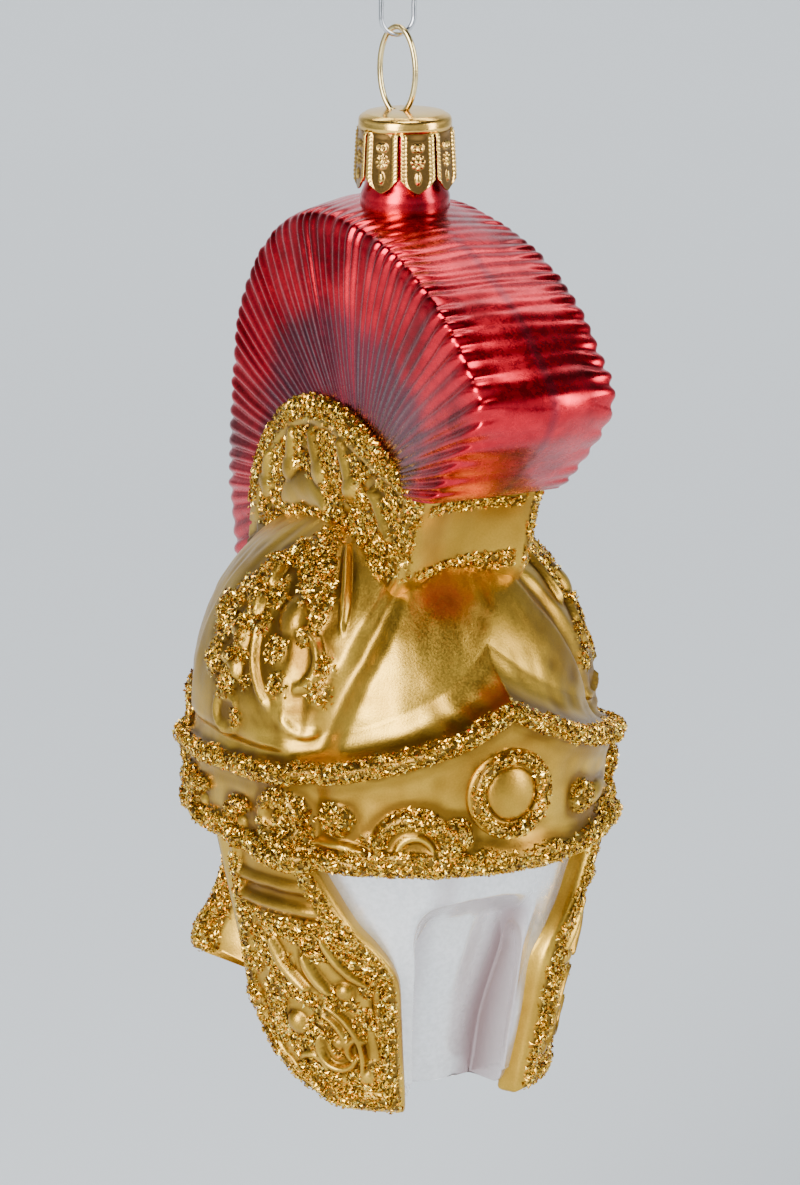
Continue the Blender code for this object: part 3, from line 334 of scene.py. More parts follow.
# A stroke is an arc in the flat of its ornament, centred across and up from its middle, with its start and
# sweep in degrees. Lengths are in millimetres, and rise is a share of RELIEF_RISE. Across is toward the front
# of the helmet. A stroke with no radius is a round lump.
Stroke = namedtuple("Stroke", "across up radius start sweep half_width rise")
Ornament = namedtuple("Ornament", "turn height")
STRAIGHT_RADIUS = 40.0


def lump(across, up, half_width, rise=1.0):
    """A stroke with no length."""
    return Stroke(across, up, 0.0, 0.0, 0.0, half_width, rise)


def straight(ax, ay, bx, by, half_width, rise):
    """A nearly straight stroke from one place to another."""
    middle_x, middle_y = 0.5 * (ax + bx), 0.5 * (ay + by)
    half = 0.5 * math.hypot(bx - ax, by - ay)
    along = math.atan2(by - ay, bx - ax)
    inward = math.sqrt(STRAIGHT_RADIUS**2 - half**2)
    centre_x = middle_x - inward * math.sin(along)
    centre_y = middle_y + inward * math.cos(along)
    swing = math.degrees(math.asin(half / STRAIGHT_RADIUS))
    start = math.degrees(along) - 90.0 - swing
    return Stroke(centre_x, centre_y, STRAIGHT_RADIUS, start, 2.0 * swing, half_width, rise)


PANEL = Ornament(70.0, 58.0)
PANEL_REACH = -15.0, 10.5
PANEL_RADIUS = SKULL_HALF_WIDTH * 1.08
MOTIF_REACH = 9.0
MOTIF_RADIUS = SKULL_HALF_WIDTH * 1.12
PANEL_RIDGES = (
    Stroke(3.7, -1.6, 3.1, 95.0, -175.0, 0.85, 1.0),
    Stroke(9.4, 1.6, 12.3, 180.0, 46.0, 0.60, 0.9),
    lump(2.0, 3.3, 2.30, 0.9),
    Stroke(-1.5, 3.0, 11.0, 42.0, -44.0, 0.80, 0.9),
    Stroke(-6.6, 5.0, 2.6, 20.0, 90.0, 1.20, 1.1),
    Stroke(-6.6, 1.8, 2.6, 20.0, 90.0, 1.20, 1.1),
    Stroke(-7.0, -2.0, 2.4, 20.0, 90.0, 1.10, 1.0),
    Stroke(-7.0, -5.6, 2.4, 20.0, 90.0, 1.10, 1.0),
    Stroke(-6.0, -9.6, 2.2, 40.0, 290.0, 0.60, 0.6),
    Stroke(5.6, -7.4, 2.8, 200.0, 100.0, 0.60, 0.6),
)
PANEL_GLUE = (
    Stroke(-3.3, 3.2, 9.0, 62.0, -66.0, 1.90, 1.0),
    Stroke(-3.0, 2.6, 6.6, 70.0, -50.0, 1.20, 1.0),
    lump(-1.6, 9.8, 2.00),
    lump(-5.0, 8.8, 1.70),
    lump(-5.6, 4.9, 1.80),
    lump(-5.4, 1.5, 1.70),
    lump(-2.2, 5.0, 1.60),
    lump(-2.6, 1.6, 1.30),
    lump(-5.4, -2.2, 1.70),
    lump(-6.6, -6.0, 1.80),
    lump(0.8, -0.8, 1.60),
    lump(1.9, -4.6, 1.50),
    lump(8.0, -1.8, 1.20),
    lump(7.3, -4.9, 1.60),
    lump(-9.6, 4.0, 2.00),
    lump(-10.0, 0.0, 2.10),
    lump(-10.2, -4.0, 2.00),
    lump(-12.6, 2.0, 1.60),
    lump(-8.0, 7.0, 1.60),
    lump(4.6, 1.2, 1.10),
    lump(-4.4, -9.8, 0.90),
    lump(-3.0, -5.0, 0.90),
)

# Motifs cast on the band of the brow plate. Their places differ on the two sides, as on the mould.
Motif = namedtuple("Motif", "name turn height")
BAND_MOTIFS = (
    Motif("flower", 62.0, 37.6),
    Motif("flower", -62.0, 37.6),
    Motif("roll", 66.0, 33.6),
    Motif("roll", -66.0, 33.6),
    Motif("curl", 78.0, 35.4),
    Motif("curl", -78.0, 35.4),
    Motif("berry", 46.2, 38.6),
    Motif("bars", 46.0, 35.2),
    Motif("bars", -50.0, 35.6),
    Motif("arch", 26.5, 35.4),
    Motif("berry", 15.2, 37.0),
    Motif("berry", -27.0, 39.0),
    Motif("leaf", -37.0, 38.0),
    Motif("curl", 98.0, 35.6),
    Motif("curl", -98.0, 35.6),
    Motif("berry", 108.0, 37.0),
    Motif("berry", -108.0, 37.0),
)
MOTIF_RIDGES = {
    "flower": (
        Stroke(0.0, 0.0, 2.6, 0.0, 345.0, 1.15, 1.0),
        lump(0.0, 0.0, 1.30, 1.1),
    ),
    "roll": (Stroke(2.0, 26.0, 26.6, 263.0, 16.0, 0.90, 1.0),),
    "curl": (
        Stroke(0.0, 0.0, 2.2, 60.0, 220.0, 0.85, 0.9),
        lump(0.2, 0.0, 0.95, 0.7),
    ),
    "berry": (lump(0.0, 0.0, 2.10, 1.3),),
    "bars": (
        Stroke(0.0, -18.8, 19.0, 80.0, 20.0, 0.75, 0.9),
        Stroke(0.0, -20.6, 19.0, 80.0, 20.0, 0.75, 0.9),
    ),
    "arch": (
        Stroke(0.0, 0.0, 4.0, 182.0, -184.0, 1.10, 1.2),
        Stroke(0.4, -0.6, 2.2, 175.0, -160.0, 0.55, 0.6),
    ),
    "leaf": (Stroke(0.0, -5.0, 5.6, 60.0, 60.0, 1.40, 0.9),),
}
MOTIF_GLUE = {
    "flower": (
        Stroke(0.0, 0.0, 2.7, 200.0, 300.0, 1.45, 1.0),
        lump(0.4, 0.4, 0.90),
    ),
    "roll": (),
    "curl": (Stroke(0.0, 0.0, 2.2, 60.0, 220.0, 1.05, 1.0),),
    "berry": (lump(0.2, 0.3, 2.00),),
    "bars": (Stroke(4.0, -0.6, 2.0, 120.0, -80.0, 0.80, 1.0),),
    "arch": (
        Stroke(0.2, 0.2, 3.9, 165.0, -165.0, 1.15, 1.0),
        lump(4.4, 0.2, 1.50),
        lump(-3.0, -1.6, 1.30),
    ),
    "leaf": (lump(-2.6, -1.0, 1.60),),
}

GUARD_PLACE = Ornament(52.0, 12.0)
GUARD_RADIUS = 19.5 * MM
GUARD_RIDGES = (
    Stroke(-0.3, -4.4, 2.7, 150.0, 190.0, 0.60, 1.1),
    lump(-0.1, -3.6, 1.00, 0.9),
    Stroke(-4.6, -5.6, 7.6, 66.0, -80.0, 0.60, 1.1),
    Stroke(-4.2, -4.8, 5.2, 66.0, -72.0, 0.50, 0.8),
    lump(-6.0, -1.9, 1.70, 1.3),
    Stroke(-1.0, 9.6, 7.0, 186.0, 60.0, 0.95, 1.2),
    Stroke(3.2, 8.8, 6.8, 190.0, 46.0, 0.90, 1.2),
    Stroke(7.4, 12.6, 8.6, 196.0, 52.0, 0.75, 1.1),
    straight(5.2, 5.4, 6.4, -5.6, 0.70, 1.1),
    lump(1.2, 3.4, 1.30, 1.1),
    Stroke(-6.6, 4.6, 9.0, 160.0, 60.0, 0.60, 0.8),
    lump(3.4, -8.0, 1.20, 0.8),
    Stroke(-4.4, -8.2, 2.4, 20.0, 120.0, 0.60, 0.8),
    Stroke(2.6, -4.4, 1.6, 60.0, 180.0, 0.55, 0.9),
)

# Tongues and fillings pressed on the seat's side. Across is toward the front, both measured in the flat side.
SEAT_PLACE = Ornament(0.0, 73.0)
SEAT_RIDGES = (
    straight(-11.4, 6.2, -12.0, 1.6, 1.50, 1.1),
    lump(-12.0, 1.8, 2.20, 1.4),
    straight(-6.2, 7.4, -4.0, 2.4, 1.50, 1.1),
    lump(-4.2, 2.8, 2.20, 1.4),
    straight(1.5, 7.4, 4.4, 2.0, 1.50, 1.1),
    lump(4.0, 2.4, 2.20, 1.4),
    straight(8.6, 2.8, 12.8, -1.8, 1.40, 1.1),
    lump(11.6, -0.8, 1.80, 1.2),
    straight(-17.4, 2.4, -18.6, -3.0, 1.30, 1.0),
    lump(-18.2, -1.6, 1.90, 1.2),
    Stroke(-7.4, -9.0, 9.0, 60.0, 70.0, 2.40, 1.0),
    Stroke(9.5, -10.0, 4.0, 40.0, 90.0, 1.00, 0.7),
)
SEAT_ARC = (
    straight(-24.8, -11.0, -16.8, -6.8, 1.00, 1.0),
    straight(-16.8, -6.8, -7.1, -3.8, 1.00, 1.0),
    straight(-7.1, -3.8, 0.5, -4.2, 1.10, 1.0),
    straight(0.5, -4.2, 9.8, -6.5, 1.60, 1.0),
    straight(7.0, -3.0, 14.5, -8.5, 1.80, 1.0),
)
SEAT_ARC_TURN = 1.5 * MM
SEAT_ARC_LEVEL = 69.0 * MM
SEAT_ARC_FALL = 0.0125 / MM
SEAT_EDGE_ROUND = 1.1 * MM
SEAT_FRONT_NARROWING = 0.7 * MM
PLATE_HOLLOW = 1.9 * MM
PLATE_UPPER_LINE = 75.3 * MM
PLATE_LOWER_LINE = 67.2 * MM
SEAT_GLITTER_FOOT = 66.0 * MM


# Curves and relief.
def smoothstep(low, high, value):
    """Climbs smoothly from 0 at low to 1 at high. With low above high it falls."""
    share = np.clip((value - low) / (high - low), 0.0, 1.0)
    return share * share * (3.0 - 2.0 * share)


def bump(offset, half_width):
    """1 in the middle, falling smoothly to 0 at half_width on each side."""
    return 1.0 - smoothstep(0.0, half_width, np.abs(offset))


def bend(share, start, start_slope, end, end_slope):
    """A curve between two places that leaves and meets them at given slopes."""
    return (
        start * (1 + 2 * share) * (1 - share) ** 2
        + start_slope * share * (1 - share) ** 2
        + end * share**2 * (3 - 2 * share)
        - end_slope * share**2 * (1 - share)
    )


def through(rows, column, at):
    """A smooth curve through one column of a table, whose first column is the place along it."""
    places = np.array([row[0] for row in rows])
    values = np.array([getattr(row, column) for row in rows])
    last = len(places) - 1
    before = np.maximum(np.arange(len(places)) - 1, 0)
    after = np.minimum(np.arange(len(places)) + 1, last)
    slopes = (values[after] - values[before]) / (places[after] - places[before])
    at = np.clip(at, places[0], places[-1])
    i = np.clip(np.searchsorted(places, at, side="right") - 1, 0, last - 1)
    span = places[i + 1] - places[i]
    share = (at - places[i]) / span
    return bend(share, values[i], slopes[i] * span, values[i + 1], slopes[i + 1] * span)


def oval(half_width, half_length, set_back, turn, height):
    """Points of level ovals at turns in degrees from the front."""
    angle = np.radians(turn)
    parts = (-half_width * np.sin(angle), set_back - half_length * np.cos(angle), height + 0.0 * angle)
    return np.stack(np.broadcast_arrays(*parts), axis=-1)


def soft_noise(x, y, seed):
    """Smooth random hills between -1 and 1, about one unit across."""
    table = np.random.default_rng(seed).uniform(-1.0, 1.0, (64, 64))
    xi, yi = np.floor(x).astype(int), np.floor(y).astype(int)
    fx, fy = x - xi, y - yi
    fx, fy = fx * fx * (3 - 2 * fx), fy * fy * (3 - 2 * fy)
    corners = [table[(xi + a) % 64, (yi + b) % 64] for a in (0, 1) for b in (0, 1)]
    low = corners[0] * (1 - fy) + corners[1] * fy
    high = corners[2] * (1 - fy) + corners[3] * fy
    return low * (1 - fx) + high * fx


def stroke_nearness(across, up, stroke):
    """How far each place lies from a stroke, as a share of the stroke's half width there."""
    x, y = across - stroke.across, up - stroke.up
    if stroke.radius == 0.0:
        return np.hypot(x, y) / stroke.half_width
    half = math.radians(0.5 * abs(stroke.sweep))
    middle = math.radians(stroke.start + 0.5 * stroke.sweep)
    away = (np.arctan2(y, x) - middle + math.pi) % (2.0 * math.pi) - math.pi
    held = np.clip(away, -half, half)
    near_x = stroke.radius * np.cos(middle + held)
    near_y = stroke.radius * np.sin(middle + held)
    taper = 1.0 - 0.5 * (np.abs(held) / half) ** 4
    return np.hypot(x - near_x, y - near_y) / (stroke.half_width * taper)


def cast(across, up, strokes):
    """Relief of rounded ridges: the highest stroke at each place, in metres."""
    relief = np.zeros(np.broadcast(across, up).shape)
    for stroke in strokes:
        share = np.clip(1.0 - stroke_nearness(across, up, stroke) ** 2, 0.0, 1.0)
        relief = np.maximum(relief, stroke.rise * RELIEF_RISE * share**0.8)
    return relief


def glued(across, up, strokes):
    """Where glue, and so glitter, lies: 1 on it and 0 off it."""
    glue = np.zeros(np.broadcast(across, up).shape)
    for stroke in strokes:
        glue = np.maximum(glue, 1.0 - smoothstep(0.75, 1.1, stroke_nearness(across, up, stroke)))
    return glue


def uncovered(across, up, strokes):
    """How far each place lies from the nearest stroke, as a share of its half width."""
    nearest = np.full(np.broadcast(across, up).shape, 9.0)
    for stroke in strokes:
        nearest = np.minimum(nearest, stroke_nearness(across, up, stroke))
    return nearest


def hollows(relief, reach):
    """Where a relief lies lower than what is around it, from 0 to 1, for the brown painted shade laid there.
    """
    around = np.zeros_like(relief)
    shifts = (-reach, -reach // 2, 0, reach // 2, reach)
    padded = np.pad(relief, reach, mode="edge")
    rows, columns = relief.shape
    for down in shifts:
        for along in shifts:
            around += padded[reach + down : reach + down + rows, reach + along : reach + along + columns]
    return np.clip((around / len(shifts) ** 2 - relief) / HOLLOW_DEPTH, 0.0, 1.0)


def ring_normals(points):
    """Directions square to a grid of points whose columns close into a ring."""
    level = np.roll(points, -1, axis=1) - np.roll(points, 1, axis=1)
    climb = np.gradient(points, axis=0)
    normals = np.cross(level, climb)
    length = np.linalg.norm(normals, axis=-1, keepdims=True)
    return normals / np.maximum(length, 1e-12)


# Meshes.
def mesh_object(name, points, faces, material, marks=None, smooth=True):
    """A piece of the ornament from points in the helmet's own heights and turns."""
    mesh = bpy.data.meshes.new(name)
    mesh.from_pydata(np.asarray(points).reshape(-1, 3).tolist(), [], faces)
    for mark, values in (marks or {}).items():
        layer = mesh.attributes.new(mark, "FLOAT", "POINT")
        layer.data.foreach_set("value", np.asarray(values, np.float32).ravel())
    if smooth:
        mesh.shade_smooth()
    mesh.materials.append(material)
    piece = bpy.data.objects.new(name, mesh)
    bpy.context.scene.collection.objects.link(piece)
    piece.location = AXIS
    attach(piece, "root")
    return piece


def grid_faces(rows, columns, wrap, start_cap=False, end_cap=False):
    """Quads over a grid of points, and one face over its first and last rows if asked."""
    index = np.arange(rows * columns).reshape(rows, columns)
    right = np.roll(index, -1, axis=1)
    used = slice(None) if wrap else slice(0, columns - 1)
    corners = (index[:-1, used], right[:-1, used], right[1:, used], index[1:, used])
    faces = np.stack(corners, axis=-1).reshape(-1, 4).tolist()
    if start_cap:
        faces.append(index[0, ::-1].tolist())
    if end_cap:
        faces.append(index[-1].tolist())
    return faces


def joining_faces(rows, columns):
    """Quads from the last row of a ringed grid to its first."""
    first = np.arange(columns)
    last = first + (rows - 1) * columns
    return np.stack([last, np.roll(last, -1), np.roll(first, -1), first], axis=-1).tolist()


def flip(faces):
    """The same faces, seen from their other side."""
    return [face[::-1] for face in faces]


def outer_only(values, within=0.0):
    """The values of a closed sheet's points from those of its outer grid."""
    return np.concatenate([values.ravel(), np.full(values.size, within)])


def closed_sheet(outer, inner, wrap, disc=False):
    """Points and faces of a thin closed sheet between two grids. With disc, their first rows are filled."""
    rows, columns = outer.shape[:2]
    points = np.concatenate([outer.reshape(-1, 3), inner.reshape(-1, 3)])
    front = grid_faces(rows, columns, wrap)
    back = [[i + rows * columns for i in face[::-1]] for face in front]
    index = np.arange(rows * columns).reshape(rows, columns)
    rims = [index[0], index[-1, ::-1]]
    if not wrap:
        rims = [np.concatenate([index[0], index[1:, -1], index[-1, -2::-1], index[-2:0:-1, 0]])]
    edges = []
    if disc:
        rims = rims[1:]
        edges = [index[0, ::-1].tolist(), (index[0] + rows * columns).tolist()]
    for rim in rims:
        after = np.roll(rim, -1)
        under, under_after = rim + rows * columns, after + rows * columns
        edges += np.stack([after, rim, under, under_after], axis=-1).tolist()
    return points, front + back + edges


def edge_round(distance, radius):
    """How far a surface falls back at a distance from its edge."""
    near = np.clip(1.0 - distance / radius, 0.0, 1.0)
    return radius * (1.0 - np.sqrt(1.0 - near**2))


def facing_out(points):
    """1 where a grid's cell directions point away from its middle on the whole, otherwise -1."""
    across = points[:-1, 1:] - points[:-1, :-1]
    climb = points[1:, :-1] - points[:-1, :-1]
    outward = points[:-1, :-1] - points.reshape(-1, 3).mean(axis=0)
    return 1.0 if float((np.cross(across, climb) * outward).sum()) > 0.0 else -1.0


# Lots of scattered flakes for each glitter piece, filled by sow and read by make_flakes.
flakes = {}


def sow(name, points, glue, seed, wrap=False):
    """Scatters flakes over the glued part of a grid, to be joined into one piece later."""
    outward = facing_out(points)
    if wrap:
        beside, glue_beside = np.roll(points, -1, axis=1), np.roll(glue, -1, axis=1)
    else:
        points, beside = points[:, :-1], points[:, 1:]
        glue, glue_beside = glue[:, :-1], glue[:, 1:]
    corners = [points[:-1], beside[:-1], beside[1:], points[1:]]
    strength = 0.5 * (glue + glue_beside)
    strength = 0.5 * (strength[:-1] + strength[1:])
    normals = np.cross(corners[1] - corners[0], corners[3] - corners[0])
    area = np.linalg.norm(normals, axis=-1)
    weight = (area * strength).ravel()
    count = int(weight.sum() / MM**2 * FLAKES_PER_MM2)
    rng = np.random.default_rng(seed)
    cell = rng.choice(weight.size, count, p=weight / weight.sum())
    u, v = rng.random((2, count, 1))
    a, b, c, d = (corner.reshape(-1, 3)[cell] for corner in corners)
    place = (a * (1 - u) + b * u) * (1 - v) + (d * (1 - u) + c * u) * v
    normal = outward * normals.reshape(-1, 3)[cell]
    normal /= np.maximum(np.linalg.norm(normal, axis=-1, keepdims=True), 1e-15)
    flakes.setdefault(name, []).append((place, normal, rng))


def make_flakes(material):
    """Joins the scattered flakes of each piece. A flake is a thin three-sided shard lying at its own tilt."""
    corner_turns = np.radians((0.0, 120.0, 240.0))
    for name, lots in flakes.items():
        all_points, tints = [], []
        for place, normal, rng in lots:
            count = len(place)
            tilt = rng.normal(0.0, FLAKE_TILT, (count, 3))
            up = normal + tilt
            up /= np.linalg.norm(up, axis=-1, keepdims=True)
            side = np.cross(up, rng.normal(size=(count, 3)))
            side /= np.linalg.norm(side, axis=-1, keepdims=True)
            fore = np.cross(up, side)
            size = FLAKE_SIZE * rng.uniform(*FLAKE_SIZES, (count, 1))
            centre = place + normal * (GLUE_BED * rng.uniform(-0.1, 1.3, (count, 1)))
            corners = []
            for turn in corner_turns:
                reach = size * rng.uniform(0.75, 1.25, (count, 1))
                swing = turn + rng.uniform(-0.35, 0.35, (count, 1))
                corners.append(centre + reach * (side * np.cos(swing) + fore * np.sin(swing)))
            corners.append(centre + up * 0.45 * size)
            all_points.append(np.stack(corners, axis=1).reshape(-1, 3))
            tints.append(np.repeat(rng.random(count), 4))
        points = np.concatenate(all_points)
        first = 4 * np.arange(len(points) // 4)[:, None]
        template = np.array(((0, 1, 3), (1, 2, 3), (2, 0, 3), (0, 2, 1)))
        faces = (first[:, None, :] + template[None]).reshape(-1, 3).tolist()
        marks = {"tint": np.concatenate(tints)}
        mesh_object(name, points, faces, material, marks, smooth=False)


# Materials.
def add(tree, kind, **settings):
    """Adds a node. A setting is a socket's value or link, or else one of the node's own values."""
    node = tree.nodes.new(kind)
    for key, value in settings.items():
        name = key.replace("_", " ").title()
        if name in node.inputs:
            if isinstance(value, bpy.types.NodeSocket):
                tree.links.new(value, node.inputs[name])
            else:
                node.inputs[name].default_value = value
        else:
            setattr(node, key, value)
    return node


def mix(tree, factor, a, b, blend="MIX"):
    """Mixes two colours."""
    node = tree.nodes.new("ShaderNodeMix")
    node.data_type = "RGBA"
    node.blend_type = blend
    for socket, value in zip((node.inputs[0], node.inputs[6], node.inputs[7]), (factor, a, b)):
        if isinstance(value, bpy.types.NodeSocket):
            tree.links.new(value, socket)
        else:
            socket.default_value = value
    return node.outputs[2]


def ramp(tree, value, low, high, to_low=0.0, to_high=1.0):
    """Spreads a value from one range to another, held at both ends."""
    node = tree.nodes.new("ShaderNodeMapRange")
    tree.links.new(value, node.inputs["Value"])
    sockets = ("From Min", "From Max", "To Min", "To Max")
    for socket, number in zip(sockets, (low, high, to_low, to_high)):
        node.inputs[socket].default_value = number
    return node.outputs["Result"]


def maths(tree, operation, a, b):
    """One step of arithmetic on two values or links."""
    node = tree.nodes.new("ShaderNodeMath")
    node.operation = operation
    for socket, value in zip(node.inputs, (a, b)):
        if isinstance(value, bpy.types.NodeSocket):
            tree.links.new(value, socket)
        else:
            socket.default_value = value
    return node.outputs[0]


def lacquer_film_group():
    """Brushed lacquer: slow drifts of colour, a fine powdery grain, and the grain's height."""
    tree = bpy.data.node_groups.new("lacquer_film", "ShaderNodeTree")
    face = tree.interface
    for name, default in (("Colour", (0.8, 0.8, 0.8, 1)), ("Drift Colour", (0.5, 0.5, 0.5, 1))):
        face.new_socket(name, in_out="INPUT", socket_type="NodeSocketColor").default_value = default
    for name, default in (("Drift Size", 0.008), ("Grain Size", 0.0003), ("Roughness", 0.4), ("Spread", 0.1)):
        face.new_socket(name, in_out="INPUT", socket_type="NodeSocketFloat").default_value = default
    face.new_socket("Colour", in_out="OUTPUT", socket_type="NodeSocketColor")
    face.new_socket("Roughness", in_out="OUTPUT", socket_type="NodeSocketFloat")
    face.new_socket("Height", in_out="OUTPUT", socket_type="NodeSocketFloat")
    given = add(tree, "NodeGroupInput")
    result = add(tree, "NodeGroupOutput")
    place = add(tree, "ShaderNodeTexCoord").outputs["Object"]
    drift_scale = maths(tree, "DIVIDE", 1.0, given.outputs["Drift Size"])
    grain_scale = maths(tree, "DIVIDE", 1.0, given.outputs["Grain Size"])
    drift = add(tree, "ShaderNodeTexNoise", vector=place, scale=drift_scale, detail=3.0, roughness=0.55)
    grain = add(tree, "ShaderNodeTexNoise", vector=place, scale=grain_scale, detail=2.0, roughness=0.6)
    thin_film_and_painted_shade = ramp(tree, drift.outputs["Fac"], 0.42, 0.66)
    speck = ramp(tree, grain.outputs["Fac"], 0.35, 0.65, -0.5, 0.5)
    film = mix(tree, thin_film_and_painted_shade, given.outputs["Colour"], given.outputs["Drift Colour"])
    light = maths(tree, "MULTIPLY_ADD", speck, 0.15)
    light.node.inputs[2].default_value = 1.0
    shade = add(tree, "ShaderNodeCombineColor", red=light, green=light, blue=light)
    film = mix(tree, 1.0, film, shade.outputs["Color"], "MULTIPLY")
    swing = maths(tree, "MULTIPLY", given.outputs["Spread"], speck)
    rough = maths(tree, "ADD", given.outputs["Roughness"], swing)
    tree.links.new(film, result.inputs["Colour"])
    tree.links.new(rough, result.inputs["Roughness"])
    tree.links.new(grain.outputs["Fac"], result.inputs["Height"])
    return tree


def marked(tree, mark):
    """The value that a mesh carries at each point under a name."""
    return add(tree, "ShaderNodeAttribute", attribute_name=mark).outputs["Fac"]


def new_material(name):
    """A material with its node tree and its shader."""
    material = bpy.data.materials.new(name)
    material.use_nodes = True
    return material, material.node_tree, material.node_tree.nodes["Principled BSDF"]


def add_film(tree, group, **values):
    """Places the lacquer film in a material, with the material's own values."""
    node = tree.nodes.new("ShaderNodeGroup")
    node.node_tree = group
    for key, value in values.items():
        node.inputs[key.replace("_", " ").title()].default_value = value
    return node


def dress(tree, shader, colour, film, strength, distance):
    """Gives a metallic shader its colour, and the film's roughness and powdery grain."""
    tree.links.new(colour, shader.inputs["Base Color"])
    tree.links.new(film.outputs["Roughness"], shader.inputs["Roughness"])
    shader.inputs["Metallic"].default_value = 1.0
    grain = add(tree, "ShaderNodeBump", strength=strength, distance=distance, height=film.outputs["Height"])
    tree.links.new(grain.outputs["Normal"], shader.inputs["Normal"])


def gold_lacquer(film):
    """Satin gold lacquer, darker where it is thin, with brown painted shade in its hollows and creases, and
    brown glue under the glitter, darkened as painted shade between the flakes.
    """
    material, tree, shader = new_material("gold_lacquer")
    node = add_film(
        tree, film, colour=GOLD, drift_colour=THIN_GOLD,
        drift_size=0.011, grain_size=0.00024, roughness=0.35, spread=0.11,
    )
    # Painted shade: brown in the hollows, creases and under the rim, and a darker brown on the glue between
    # the flakes.
    painted_shade = ramp(tree, marked(tree, "painted_shade"), 0.0, 1.0, 0.0, PAINTED_SHADE_STRENGTH)
    painted_shaded = mix(tree, painted_shade, node.outputs["Colour"], PAINTED_SHADE_BROWN)
    colour = mix(tree, marked(tree, "glue"), painted_shaded, GLUE_AND_SHADE_BROWN)
    dress(tree, shader, colour, node, strength=0.35, distance=0.06 * MM)
    return material


def red_lacquer(film):
    """Clear red lacquer over silvered glass, with a dark painted reflection towards the hub of the crest and
    painted shade along its crown's crease.
    """
    material, tree, shader = new_material("red_lacquer")
    node = add_film(
        tree, film, colour=RED, drift_colour=THIN_RED,
        drift_size=0.009, grain_size=0.0009, roughness=0.27, spread=0.06,
    )
    # Painted reflection and shade: a dark red towards the crest's hub and along its crown's crease.
    colour = mix(tree, marked(tree, "painted_reflection_and_shade"), node.outputs["Colour"], REFLECTION_AND_SHADE_DARK)
    dress(tree, shader, colour, node, strength=0.12, distance=0.08 * MM)
    shader.inputs["Coat Weight"].default_value = 0.28
    shader.inputs["Coat Roughness"].default_value = 0.18
    return material


def white_lacquer(film):
    """Pearl white lacquer, with gold brushed over the sides of the core, and a rose painted shadow on the
    walls of its channel.
    """
    material, tree, shader = new_material("white_lacquer")
    node = add_film(
        tree, film, colour=PEARL, drift_colour=THIN_PEARL,
        drift_size=0.012, grain_size=0.0006, roughness=0.26, spread=0.02,
    )
    gilt = marked(tree, "gilt")
    # Painted shadow: rose grey on the walls of the channel.
    pearl = mix(tree, marked(tree, "thin_film_and_painted_shade"), node.outputs["Colour"], PAINTED_ROSE_SHADOW)
    dress(tree, shader, mix(tree, gilt, pearl, GOLD), node, strength=0.05, distance=0.03 * MM)
    tree.links.new(ramp(tree, gilt, 0.0, 1.0, PEARL_METALLIC, 1.0), shader.inputs["Metallic"])
    shader.inputs["Coat Weight"].default_value = 0.3
    shader.inputs["Coat Roughness"].default_value = 0.2
    return material


def gold_glitter():
    """Metal flakes, each with its own shade from dark brown to bright yellow."""
    material, tree, shader = new_material("gold_glitter")
    tint = marked(tree, "tint")
    warm = mix(tree, ramp(tree, tint, 0.0, 0.55), FLAKE_BROWN, FLAKE_GOLD)
    bright = mix(tree, ramp(tree, tint, 0.7, 1.0), warm, FLAKE_SPARK)
    tree.links.new(bright, shader.inputs["Base Color"])
    shader.inputs["Metallic"].default_value = 1.0
    shader.inputs["Roughness"].default_value = 0.22
    return material


def stamped_brass(film):
    """Bright gilt brass, with dark lacquer left in the bottom of the stamping, and painted shade in the wire
    holes and on the petals' insides.
    """
    material, tree, shader = new_material("gilt_cap")
    node = add_film(
        tree, film, colour=BRASS, drift_colour=THIN_BRASS,
        drift_size=0.004, grain_size=0.00025, roughness=0.20, spread=0.06,
    )
    # Dark brown in the stamping's hollows; painted shade in the wire holes and on the petals' insides.
    colour = mix(tree, marked(tree, "depth"), node.outputs["Colour"], STAMPING_AND_SHADE_BROWN)
    dress(tree, shader, colour, node, strength=0.2, distance=0.03 * MM)
    return material


def drawn_wire(film, name, colour, roughness):
    """Plain metal wire."""
    material, tree, shader = new_material(name)
    node = add_film(
        tree, film, colour=(*colour, 1.0), drift_colour=(*(0.8 * c for c in colour), 1.0),
        drift_size=0.003, grain_size=0.0002, roughness=roughness, spread=0.05,
    )
    dress(tree, shader, node.outputs["Colour"], node, strength=0.1, distance=0.02 * MM)
    return material


# The skull and its brow plate.
def from_front(turn):
    """Degrees away from the front, on either side."""
    return np.abs((turn + 180.0) % 360.0 - 180.0)


def rim_height(turn):
    """The level of the brow plate's upper rim, which climbs to a peak in front."""
    away = from_front(turn)
    return BROW_RIM_SIDE + (BROW_PEAK - BROW_RIM_SIDE) * np.exp(-away / BROW_PEAK_SPREAD)


def front_share(turn):
    """1 on the brow plate and 0 on the plain band behind it."""
    return 1.0 - smoothstep(*FRONT_PLATE_ENDS, from_front(turn))


def skull_scale(height):
    """The size of the skull's oval at a height, as a share of its size at the equator."""
    share = np.clip((height - SKULL_EQUATOR) / (SKULL_TOP - SKULL_EQUATOR), 0.0, 1.0)
    below = 1.0 - SKULL_UNDERCUT * (SKULL_EQUATOR - height) / (SKULL_EQUATOR - BROW_EDGE)
    return np.where(height >= SKULL_EQUATOR, np.sqrt(1.0 - share**2), below)


def crease_turn(height):
    """The turn of the crease between the front and the side panel, which leans forward as it climbs."""
    climb = np.maximum(height - SKULL_EQUATOR, 0.0) / (SKULL_TOP - SKULL_EQUATOR)
    return SIDE_CREASE_FOOT_TURN - SIDE_CREASE_SWEEP * climb**1.3


